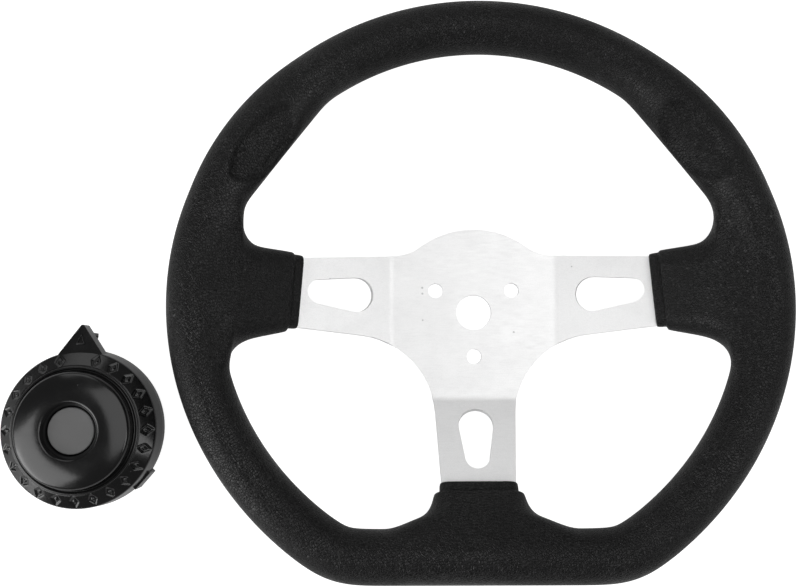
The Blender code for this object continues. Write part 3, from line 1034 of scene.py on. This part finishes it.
    def add_boot(
        self, bm: bmesh.types.BMesh, rings: Sequence[Sequence[bmesh.types.BMVert]], boot: Boot
    ) -> None:
        """Grows one boot from its opening in the rim, and sinks the plate's slot in its mouth.

        Args:
            bm: The control mesh.
            rings: The rim's sections.
            boot: The boot.
        """
        first, last = boot.first_station, boot.first_station + self.boot_span
        front, back = self.boot_front, self.boot_back
        opening = [rings[i % self.stations][front] for i in range(first, last + 1)]
        opening += [rings[last % self.stations][j] for j in range(front + 1, back + 1)]
        opening += [rings[i % self.stations][back] for i in range(last - 1, first - 1, -1)]
        opening += [rings[first % self.stations][j] for j in range(back - 1, front, -1)]
        loops = [opening]
        for station in boot.stations:
            high, low = station.noon, station.away
            if not boot.noon_rises:
                high, low = low, high
            points = self.boot_loop(boot, station.run, -low, high, station.half_thickness)
            loops.append([bm.verts.new(p) for p in points])
        mouth = boot.stations[-1]
        lip = 0.4 * MM
        high, low = mouth.noon - lip, mouth.away - lip
        if not boot.noon_rises:
            high, low = low, high
        for run in (0.0, 0.2 * MM, self.slot_depth - 0.2 * MM, self.slot_depth):
            points = self.boot_loop(boot, run, -low, high, self.slot_half_thickness)
            loops.append([bm.verts.new(p) for p in points])
        skin(bm, loops)
        bm.faces.new(loops[-1])

    def surface_tree(self) -> bpy.types.NodeTree:
        """Builds the tree that smooths the control mesh, presses the thumb rests in and stores the
        mask of the painted highlight beside them.

        Returns:
            The Geometry Nodes group.
        """
        sizes = ("angle", "radius", "half length", "half width", "depth", "hollow")
        graph, value, made = new_group(
            "GeometryNodeTree",
            "Moulded foam",
            {
                "Control mesh": ("Geometry", None),
                "Levels": ("Int", 2),
                "Centre": ("Vector", None),
                **{f"Rest {size}": ("Float", None) for size in sizes},
                "Finish": ("Material", None),
            },
            {"Foam": "Geometry"},
        )
        smooth = graph.node(
            "GeometryNodeSubdivisionSurface",
            {"Mesh": value["Control mesh"], "Level": value["Levels"]},
        )
        place = graph.node("GeometryNodeInputPosition").outputs[0]
        from_hub = graph.vector("SUBTRACT", place, value["Centre"])
        parts = graph.node("ShaderNodeSeparateXYZ", {0: from_hub}).outputs
        side = graph.math("ABSOLUTE", parts["X"])
        squares = [graph.math("POWER", part, 2.0) for part in (side, parts["Y"])]
        radius = graph.math("SQRT", graph.math("ADD", *squares))
        angle = graph.math("ARCTAN2", parts["Y"], side)
        off_angle = graph.math("SUBTRACT", angle, value["Rest angle"])
        off_radius = graph.math("SUBTRACT", radius, value["Rest radius"])
        along = graph.product(off_angle, value["Rest radius"])
        share_long = graph.math("DIVIDE", along, value["Rest half length"])
        long_square = graph.product(share_long, share_long)
        # The rest lies along a chord, so its ends fall away from the circle through its middle.
        chord = graph.math("MULTIPLY_ADD", long_square, -self.rest_sag, off_radius)
        share_wide = graph.math("DIVIDE", chord, value["Rest half width"])
        oval = graph.math("ADD", long_square, graph.product(share_wide, share_wide))
        inside = graph.math("SUBTRACT", 1.0, oval, clamp=True)
        dish = graph.math("POWER", inside, value["Rest hollow"])
        ridge = graph.product(
            graph.ramp(oval, 0.85, 1.12, 0.0, 1.0), graph.ramp(oval, 1.12, 1.9, 1.0, 0.0)
        )
        hubward = graph.ramp(share_wide, -0.3, -0.9, 0.0, 1.0)
        raised = graph.product(ridge, hubward, self.rest_ridge)
        on_front = graph.ramp(parts["Z"], 0.0, 3.5 * MM, 0.0, 1.0)
        change = graph.product(
            graph.math("SUBTRACT", raised, dish), on_front, value["Rest depth"]
        )
        normal = graph.node("GeometryNodeInputNormal").outputs[0]
        pressed = graph.node(
            "GeometryNodeSetPosition",
            {"Geometry": smooth.outputs[0], "Offset": graph.vector("SCALE", normal, change)},
        )
        # Mask of the painted highlight beside the thumb rests, where the skin is also made
        # glossier.
        polish = self.polish(graph, off_angle, off_radius, dish, on_front)
        painted_highlight = graph.node(
            "GeometryNodeStoreNamedAttribute",
            {"Geometry": pressed.outputs[0], "Name": "polish", "Value": polish},
            data_type="FLOAT",
        )
        graph.end(made, painted_highlight.outputs[0], value["Finish"])
        return graph.tree

    @staticmethod
    def polish(
        graph: Graph, off_angle: Socket, off_radius: Socket, dish: Socket, on_front: Socket
    ) -> Socket:
        """Adds the nodes for the mask round the thumb rests that paints a highlight into the foam's
        colour and makes it glossier, as hands polish it.

        Args:
            graph: The tree's graph.
            off_angle: Angle from a rest's middle.
            off_radius: Distance outwards from a rest's middle.
            dish: 1 at the bottom of a rest.
            on_front: 1 on the front face.

        Returns:
            The mask, which is 1 where the painted highlight is brightest and the skin glossiest.
        """
        beside = graph.ramp(graph.math("ABSOLUTE", off_angle), 0.16, 0.6, 1.0, 0.0)
        band = graph.ramp(graph.math("ABSOLUTE", off_radius), 0.0, 5.5 * MM, 1.0, 0.0)
        return graph.product(beside, band, graph.math("SUBTRACT", 1.0, dish), on_front)

    def build(self) -> bpy.types.Object:
        """Makes the foam and ties it to the wheel.

        Returns:
            The foam.
        """
        foam = link_mesh("foam_rim", self.cage(), self.material)
        modifier = foam.modifiers.new("moulded_foam", "NODES")
        modifier.node_group = self.surface_tree()
        set_inputs(
            modifier,
            {
                "Levels": 2,
                "Centre": self.centre,
                "Rest angle": math.radians(self.thumb_angle - 0.7),
                "Rest radius": self.rest_radius,
                "Rest half length": self.rest_half_length,
                "Rest half width": self.rest_half_width,
                "Rest depth": self.rest_depth,
                "Rest hollow": self.rest_hollow,
                "Finish": self.material,
            },
        )
        settle(foam)
        finish_piece(foam, Body.WHEEL, Slot.FOAM, "rim_foam")
        return foam


# Spoke plate and the steel inside the foam ---------------------------------------------------


@dataclass
class SpokePlate:
    """The dished plate, with the small rolled edges that punching leaves."""

    material: bpy.types.Material
    edge_round: float = 0.35 * MM
    edge_steps: int = 2

    def build(self) -> bpy.types.Object:
        """Makes the plate from a merged copy of the frame's own.

        Returns:
            The plate.
        """
        bm = bmesh.new()
        bm.from_mesh(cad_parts["spoke_plate"].data)
        bmesh.ops.remove_doubles(bm, verts=bm.verts, dist=1e-6)
        bmesh.ops.dissolve_limit(
            bm, angle_limit=math.radians(0.5), verts=bm.verts, edges=bm.edges
        )
        plate = link_mesh("dished_plate", bm, self.material)
        bevel = plate.modifiers.new("rolled_edge", "BEVEL")
        bevel.width = self.edge_round
        bevel.segments = self.edge_steps
        bevel.limit_method = "ANGLE"
        bevel.angle_limit = math.radians(45)
        flat = plate.modifiers.new("flat_faces", "WEIGHTED_NORMAL")
        flat.keep_sharp = True
        settle(plate)
        finish_piece(plate, Body.WHEEL, Slot.SPOKE_METAL, "spoke_plate")
        return plate


@dataclass
class HiddenSteel:
    """The hoop, the lugs and the rivets that the foam holds, which keep their own meshes."""

    hoop: bpy.types.Material
    rivet: bpy.types.Material

    def dress(self) -> None:
        """Gives each steel piece its finish."""
        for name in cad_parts:
            if name == "rim_hoop" or name.startswith("hoop_lug_"):
                dress_node(name, self.hoop)
            elif name.startswith("rivet_"):
                dress_node(name, self.rivet)


# Centre cap ----------------------------------------------------------------------------------


@dataclass
class CentreCap:
    """The turned cap with its ring of pockets, its pointer and its three clips."""

    plastic: bpy.types.Material
    insert: bpy.types.Material
    columns: int = 480
    flange_radius: float = 35 * MM
    skirt_radius: float = 35.8 * MM
    skirt_depth: float = 11.3 * MM
    clip_depth: float = 16 * MM
    wall: float = 2.2 * MM
    recess_radius: float = 10.6 * MM
    recess_floor: float = 7.8 * MM
    badge_gap: float = 0.3 * MM
    bead_radius: float = 27.7 * MM
    bead_height: float = 5.0 * MM
    bead_size: float = 0.62 * MM
    flange_top: tuple[float, float] = (28.7 * MM, 4.7 * MM)
    flange_foot: tuple[float, float] = (34.5 * MM, 0.55 * MM)
    pocket_count: int = 24
    pocket_middle: float = 31.5 * MM
    pocket_half_length: float = 3.2 * MM
    pocket_half_width: float = 2.4 * MM
    pocket_depth: float = 0.75 * MM
    pointer_reach: float = 47.3 * MM
    pointer_half_width: float = 10 * MM
    pointer_drop: float = 1.8 * MM
    pointer_thickness: float = 7.5 * MM
    clip_thickness: float = 1.3 * MM
    side_clip_inner: float = 34.9 * MM
    top_clip_inner: float = 42.4 * MM
    barb_reach: float = 1.8 * MM
    barb_top: float = -14.6 * MM
    axis: Vector = field(init=False)

    def __post_init__(self) -> None:
        """Finds the cap's axis, at the height of its flange's edge, from the frame's disc."""
        low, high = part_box("cap_badge")
        height = low.z - self.recess_floor - self.badge_gap
        self.axis = Vector(((low.x + high.x) / 2, (low.y + high.y) / 2, height))

    def outer_profile(self) -> tuple[Profile, int, int]:
        """Section of the outside, from the axis to the skirt's edge.

        Returns:
            The points, and the numbers of the flange's first and last point.
        """
        floor, wall = self.recess_floor, self.recess_radius
        points = [(0.0, floor), (wall * 0.5, floor), (wall - 0.25 * MM, floor)]
        points += arc((wall - 0.25 * MM, floor + 0.25 * MM), 0.25 * MM, -60, 0, 2)
        points += [(11.0 * MM, 9.4 * MM), (11.7 * MM, 11.2 * MM)]
        points += arc((13.3 * MM, 11.2 * MM), 1.15 * MM, 160, 86, 6)
        points += arc((12.4 * MM, -21.4 * MM), 33.75 * MM, 86, 69.5, 14)
        points += arc((23.31 * MM, 7.78 * MM), 2.6 * MM, 66, 4, 9)
        points += [(26.4 * MM, 4.9 * MM), (26.7 * MM, 4.62 * MM)]
        bead = (self.bead_radius, self.bead_height - 0.2 * MM)
        points += arc(bead, self.bead_size, 175, 5, 9)
        points += [(self.flange_top[0] - 0.2 * MM, self.flange_top[1] - 0.12 * MM)]
        first = len(points)
        rows = 17
        (r0, z0), (r1, z1) = self.flange_top, self.flange_foot
        points += [
            (r0 + (r1 - r0) * i / rows, z0 + (z1 - z0) * i / rows) for i in range(rows + 1)
        ]
        last = len(points) - 1
        points += [(34.85 * MM, 0.22 * MM), (self.flange_radius, -0.25 * MM)]
        drop = (self.skirt_radius - self.flange_radius) / self.skirt_depth
        points += [
            (self.flange_radius + drop * z, -z)
            for z in (1.0 * MM, 4 * MM, 8 * MM, self.skirt_depth - 0.3 * MM)
        ]
        points += [(self.skirt_radius - 0.3 * MM, -self.skirt_depth)]
        return points, first, last

    def inner_profile(self) -> Profile:
        """Section of the hollow, from the skirt's edge to the axis.

        Returns:
            The points.
        """
        inside = self.flange_radius - self.wall
        points = [(inside + 0.6 * MM, -self.skirt_depth), (inside, -self.skirt_depth + 0.4 * MM)]
        points += [(inside, -6 * MM), (inside, -1.6 * MM), (27.4 * MM, 2.2 * MM)]
        points += arc((18 * MM, 4.4 * MM), 6.2 * MM, 10, 100, 9)
        under = self.recess_floor - self.wall
        points += [(12.8 * MM, 9.6 * MM), (12.4 * MM, under + 0.5 * MM), (11.9 * MM, under)]
        points += [(6 * MM, under), (0.0, under)]
        return points

    def profile_object(self) -> bpy.types.Object:
        """Makes the section that the shell is turned from, marked where pockets may lie.

        Returns:
            A hidden helper, removed once the shell is made.
        """
        outer, first, last = self.outer_profile()
        points = outer + self.inner_profile()
        mesh = bpy.data.meshes.new("cap_section")
        edges = [(i, i + 1) for i in range(len(points) - 1)]
        mesh.from_pydata([(r, 0, z) for r, z in points], edges, [])
        marks = mesh.attributes.new("pocketed", "FLOAT", "POINT")
        for i in range(first + 1, last):
            marks.data[i].value = 1.0
        section = bpy.data.objects.new("cap_section", mesh)
        bpy.context.scene.collection.objects.link(section)
        section.hide_render = True
        return section

    def turning_tree(self) -> bpy.types.NodeTree:
        """Builds the tree that turns the section and sinks a pocket with a stud at each mark.

        Returns:
            The Geometry Nodes group.
        """
        sizes = ("middle", "half length", "half width", "depth")
        graph, value, made = new_group(
            "GeometryNodeTree",
            "Turned cap",
            {
                "Section": ("Object", None),
                "Rows": ("Int", 60),
                "Columns": ("Int", 480),
                "Axis": ("Vector", None),
                "Pocket count": ("Int", 24),
                **{f"Pocket {size}": ("Float", None) for size in sizes},
                "Pointer angle": ("Float", math.pi / 2),
                "Finish": ("Material", None),
            },
            {"Shell": "Geometry"},
        )
        columns = graph.math("ADD", value["Columns"], 1.0)
        grid = graph.node(
            "GeometryNodeMeshGrid",
            {"Size X": 1.0, "Size Y": 1.0, "Vertices X": columns, "Vertices Y": value["Rows"]},
        )
        index = graph.node("GeometryNodeInputIndex").outputs[0]
        row = graph.math("MODULO", index, value["Rows"])
        rows_before = graph.math("DIVIDE", graph.math("ADD", index, 0.5), value["Rows"])
        column = graph.math("FLOOR", rows_before)
        turn = graph.product(graph.math("DIVIDE", column, value["Columns"]), math.tau)
        section = graph.node("GeometryNodeObjectInfo", {"Object": value["Section"]})
        mark = graph.node("GeometryNodeInputNamedAttribute", {"Name": "pocketed"})
        readings = {
            "FLOAT_VECTOR": graph.node("GeometryNodeInputPosition").outputs[0],
            "FLOAT": mark.outputs["Attribute"],
        }
        on_section, marked = [
            graph.node(
                "GeometryNodeSampleIndex",
                {"Geometry": section.outputs["Geometry"], "Value": reading, "Index": row},
                data_type=kind,
            ).outputs[0]
            for kind, reading in readings.items()
        ]
        point = graph.node("ShaderNodeSeparateXYZ", {0: on_section}).outputs
        radius, height = point["X"], point["Z"]
        pitch = graph.math("DIVIDE", math.tau, value["Pocket count"])
        share = graph.math("DIVIDE", turn, pitch)
        off_turn = graph.math("SUBTRACT", share, graph.math("ROUND", share))
        sideways = graph.product(off_turn, pitch, radius)
        lengthways = graph.math("SUBTRACT", radius, value["Pocket middle"])
        reaches = [
            graph.math("DIVIDE", graph.math("ABSOLUTE", off), value[f"Pocket half {size}"])
            for off, size in ((sideways, "width"), (lengthways, "length"))
        ]
        diamond = graph.math("ADD", *reaches)
        sunk = graph.ramp(diamond, 0.55, 1.05, 1.0, 0.0)
        stud = graph.product(graph.ramp(diamond, 0.0, 0.55, 1.0, 0.0), 1.15)
        to_pointer = graph.math("ABSOLUTE", graph.math("SUBTRACT", turn, value["Pointer angle"]))
        clear = graph.math("GREATER_THAN", to_pointer, graph.product(pitch, 0.5))
        relief = graph.product(
            graph.math("SUBTRACT", stud, sunk),
            value["Pocket depth"],
            graph.product(marked, clear),
        )
        placed = graph.node(
            "ShaderNodeCombineXYZ",
            {
                "X": graph.product(radius, graph.math("COSINE", turn)),
                "Y": graph.product(radius, graph.math("SINE", turn)),
                "Z": graph.math("ADD", height, relief),
            },
        )
        at_axis = graph.vector("ADD", placed.outputs[0], value["Axis"])
        turned = graph.node(
            "GeometryNodeSetPosition", {"Geometry": grid.outputs[0], "Position": at_axis}
        )
        closed = graph.node(
            "GeometryNodeMergeByDistance", {"Geometry": turned.outputs[0], "Distance": 1e-6}
        )
        graph.end(made, closed.outputs[0], value["Finish"])
        return graph.tree

    def turned_shell(self) -> bpy.types.Object:
        """Makes the round part of the cap.

        Returns:
            The shell.
        """
        section = self.profile_object()
        shell = bpy.data.objects.new("cap_body", bpy.data.meshes.new("cap_body"))
        bpy.context.scene.collection.objects.link(shell)
        shell.data.materials.append(self.plastic)
        modifier = shell.modifiers.new("turned", "NODES")
        modifier.node_group = self.turning_tree()
        set_inputs(
            modifier,
            {
                "Section": section,
                "Rows": len(section.data.vertices),
                "Columns": self.columns,
                "Axis": self.axis,
                "Pocket count": self.pocket_count,
                "Pocket middle": self.pocket_middle,
                "Pocket half length": self.pocket_half_length,
                "Pocket half width": self.pocket_half_width,
                "Pocket depth": self.pocket_depth,
                "Pointer angle": math.pi / 2,
                "Finish": self.plastic,
            },
        )
        settle(shell)
        bpy.data.objects.remove(section, do_unlink=True)
        self.turn_outwards(shell)
        return shell

    @staticmethod
    def turn_outwards(obj: bpy.types.Object) -> None:
        """Recalculates a closed mesh's normals.

        Args:
            obj: The object.
        """
        bm = bmesh.new()
        bm.from_mesh(obj.data)
        bmesh.ops.recalc_face_normals(bm, faces=bm.faces)
        bm.to_mesh(obj.data)
        bm.free()

    def pointer(self) -> bpy.types.Object:
        """Makes the arrow at 12 o'clock, which carries on the flange's slope.

        Returns:
            The pointer.
        """
        base, thick = 31.5 * MM, self.pointer_thickness
        top_base = 2.55 * MM
        shoulder = 35.4 * MM
        half = self.pointer_half_width
        outline = [
            (-half + 0.4 * MM, base, top_base - 1.5 * MM),
            (-half, shoulder - 1.7 * MM, 0.35 * MM),
            (-0.55 * MM, self.pointer_reach - 0.2 * MM, -self.pointer_drop),
            (0.55 * MM, self.pointer_reach - 0.2 * MM, -self.pointer_drop),
            (half, shoulder - 1.7 * MM, 0.35 * MM),
            (half - 0.4 * MM, base, top_base - 1.5 * MM),
        ]
        bm = bmesh.new()
        upper = [bm.verts.new(self.axis + Vector(p)) for p in outline]
        lower = [bm.verts.new(self.axis + Vector((x, y, z - thick))) for x, y, z in outline]
        crown = bm.verts.new(self.axis + Vector((0, shoulder, 0.5 * MM)))
        for a, b in zip(upper, upper[1:] + upper[:1]):
            bm.faces.new((a, b, crown))
        skin(bm, [upper, lower])
        bm.faces.new(lower)
        return self.bevelled("cap_pointer", bm, 0.35 * MM)

    def bevelled(self, name: str, bm: bmesh.types.BMesh, width: float) -> bpy.types.Object:
        """Makes a small moulded piece with soft edges.

        Args:
            name: Its name.
            bm: Its mesh, which is freed.
            width: The width of its rounded edges.

        Returns:
            The piece.
        """
        piece = link_mesh(name, bm, self.plastic)
        bevel = piece.modifiers.new("soft_edges", "BEVEL")
        bevel.width = width
        bevel.segments = 3
        bevel.limit_method = "ANGLE"
        bevel.angle_limit = math.radians(35)
        piece.modifiers.new("flat_faces", "WEIGHTED_NORMAL")
        settle(piece)
        return piece

    def arrow_mark(self) -> bpy.types.Object:
        """Makes the small raised arrow outline on the pointer's face.

        Returns:
            The mark.
        """
        bm = bmesh.new()
        middle = Vector((0, 40.0 * MM, -0.25 * MM))
        tilt = Matrix.Rotation(-math.atan(0.19), 3, "X")
        sizes = ((2.6, -0.1), (2.5, 0.3), (2.1, 0.42), (1.7, 0.3), (1.6, -0.1))
        loops = []
        for reach, height in sizes:
            corners = [(0, reach * 1.25), (-reach * 0.8, -reach * 0.8), (reach * 0.8, -reach * 0.8)]
            loops.append(
                [
                    bm.verts.new(self.axis + middle + tilt @ (Vector((x, y, height)) * MM))
                    for x, y in corners
                ]
            )
        skin(bm, loops)
        skin(bm, [loops[-1], loops[0]])
        return self.bevelled("cap_arrow_mark", bm, 0.12 * MM)

    def clip(
        self, degrees: float, inner: float, half_width: float, root: tuple[float, float]
    ) -> bpy.types.Object:
        """Makes one clip that hooks over the plate's edge.

        Args:
            degrees: Its place round the cap from 3 o'clock.
            inner: Radius of its inner face.
            half_width: Half its width.
            root: Inner radius and top of the foot that joins it to the skirt.

        Returns:
            The clip.
        """
        top = -self.skirt_depth + self.badge_gap
        section = [
            (inner + self.clip_thickness, root[1]),
            (inner + self.clip_thickness, -self.clip_depth),
            (inner - 0.4 * MM, -self.clip_depth),
            (inner - self.barb_reach, self.barb_top),
            (inner, self.barb_top),
            (inner, top),
            (root[0], top),
            (root[0], root[1]),
        ]
        turn = Matrix.Rotation(math.radians(degrees), 3, "Z")
        bm = bmesh.new()
        loops = [
            [bm.verts.new(self.axis + turn @ Vector((r, side, z))) for r, z in section]
            for side in (-half_width, half_width)
        ]
        skin(bm, loops)
        for loop in loops:
            bm.faces.new(loop)
        return self.bevelled(f"cap_clip_{degrees:.0f}", bm, 0.2 * MM)

    def build(self) -> bpy.types.Object:
        """Makes the cap and ties it to its body.

        Returns:
            The cap's shell; the small pieces are separate and ride on the same body.
        """
        shell = self.turned_shell()
        foot = (self.flange_radius - self.wall / 2, -7 * MM)
        extras = [self.pointer(), self.arrow_mark()]
        extras += [self.clip(degrees, self.side_clip_inner, 5 * MM, foot) for degrees in (221, 319)]
        under_pointer = (self.top_clip_inner, -2.5 * MM)
        extras.append(self.clip(90, self.top_clip_inner, 2.6 * MM, under_pointer))
        for piece in extras:
            finish_piece(piece, Body.CAP, Slot.CAP_PLASTIC)
        finish_piece(shell, Body.CAP, Slot.CAP_PLASTIC, "cap_shell")
        dress_node("cap_badge", self.insert)
        return shell


# Studio --------------------------------------------------------------------------------------


@dataclass(frozen=True)
class SoftBox:
    """A soft lamp: its place from the wheel's centre, its size and its power."""

    name: str
    place: tuple[float, float, float]
    size: float
    power: float


@dataclass
class Studio:
    """The floor, the lamps, the surrounding light and the camera."""

    floor: bpy.types.Material
    centre: Vector
    eye: tuple[float, float, float] = (-32.8 * MM, -27.1 * MM, 380 * MM)
    tilt: float = 4.985
    pan: float = 0.33
    roll: float = -0.25
    focal_share: float = 1.1099
    floor_reach: float = 12.0
    surround: float = 0.15
    backdrop: float = 0.9
    boxes: tuple[SoftBox, ...] = (
        SoftBox("overhead", (0.42, 0.18, 1.3), 1.4, 9.2),
        SoftBox("left_front", (-1.0, -0.52, 0.75), 1.0, 9.8),
        SoftBox("right", (0.75, -0.38, 0.72), 0.42, 1.5),
        SoftBox("beyond", (-0.45, 1.0, 0.6), 0.75, 1.9),
        SoftBox("left_low", (-1.25, -0.7, 0.3), 0.7, 4.6),
    )

    def build(self) -> None:
        """Makes everything that isn't the object."""
        self.make_floor()
        for box in self.boxes:
            self.make_lamp(box)
        world = bpy.data.worlds.new("studio")
        world.use_nodes = True
        graph = Graph(world.node_tree)
        seen = graph.node("ShaderNodeLightPath").outputs["Is Camera Ray"]
        strength = graph.math("MULTIPLY_ADD", seen, self.backdrop - self.surround, self.surround)
        background = graph.node(
            "ShaderNodeBackground", {"Color": near_grey(1.0), "Strength": strength}
        )
        graph.node("ShaderNodeOutputWorld", {"Surface": background.outputs[0]})
        bpy.context.scene.world = world
        bpy.context.scene.view_settings.view_transform = "Standard"
        self.make_camera()

    def make_floor(self) -> None:
        """Makes the table, just under the object."""
        bm = bmesh.new()
        bmesh.ops.create_grid(bm, x_segments=1, y_segments=1, size=self.floor_reach)
        low, _ = CAD_BOX
        bmesh.ops.translate(bm, verts=bm.verts, vec=(0, 0, low[2] - 0.1 * MM))
        link_mesh("table", bm, self.floor)

    def make_lamp(self, box: SoftBox) -> None:
        """Makes one soft lamp that faces the wheel.

        Args:
            box: The lamp.
        """
        lamp = bpy.data.lights.new(box.name, "AREA")
        lamp.shape = "SQUARE"
        lamp.size = box.size
        lamp.energy = box.power
        obj = bpy.data.objects.new(box.name, lamp)
        obj.location = self.centre + Vector(box.place)
        obj.rotation_euler = Vector(box.place).to_track_quat("Z", "Y").to_euler()
        bpy.context.scene.collection.objects.link(obj)

    def make_camera(self) -> None:
        """Places the camera over the wheel and makes it the scene's."""
        camera = bpy.data.cameras.new("camera")
        camera.sensor_width = 36.0
        camera.lens = camera.sensor_width * self.focal_share
        obj = bpy.data.objects.new("camera", camera)
        obj.location = self.centre + Vector(self.eye)
        obj.rotation_euler = [math.radians(a) for a in (self.tilt, self.pan, self.roll)]
        bpy.context.scene.collection.objects.link(obj)
        bpy.context.scene.camera = obj


def main() -> None:
    """Builds the wheel, the cap and the studio in order."""
    logging.basicConfig(level=logging.INFO, format="%(message)s")
    effects = SurfaceEffects()
    rim = FoamRim(FoamSkin().build(effects))
    rim.build()
    SpokePlate(SatinSheet().build(effects)).build()
    HiddenSteel(
        hoop=BareSteel("drawn_steel").build(effects),
        rivet=BareSteel("headed_steel", roughness=(0.22, 0.4)).build(effects),
    ).dress()
    CentreCap(
        plastic=MouldedPlastic(
            "gloss_black_plastic", near_grey(0.004, 0.0041), near_grey(0.008, 0.0082), (0.17, 0.27)
        ).build(effects),
        insert=MouldedPlastic(
            "grey_disc_plastic", near_grey(0.1), near_grey(0.115), (0.4, 0.5)
        ).build(effects),
    ).build()
    Studio(floor=PaleFloor().build(effects), centre=rim.centre).build()


if __name__ == "__main__":
    main()
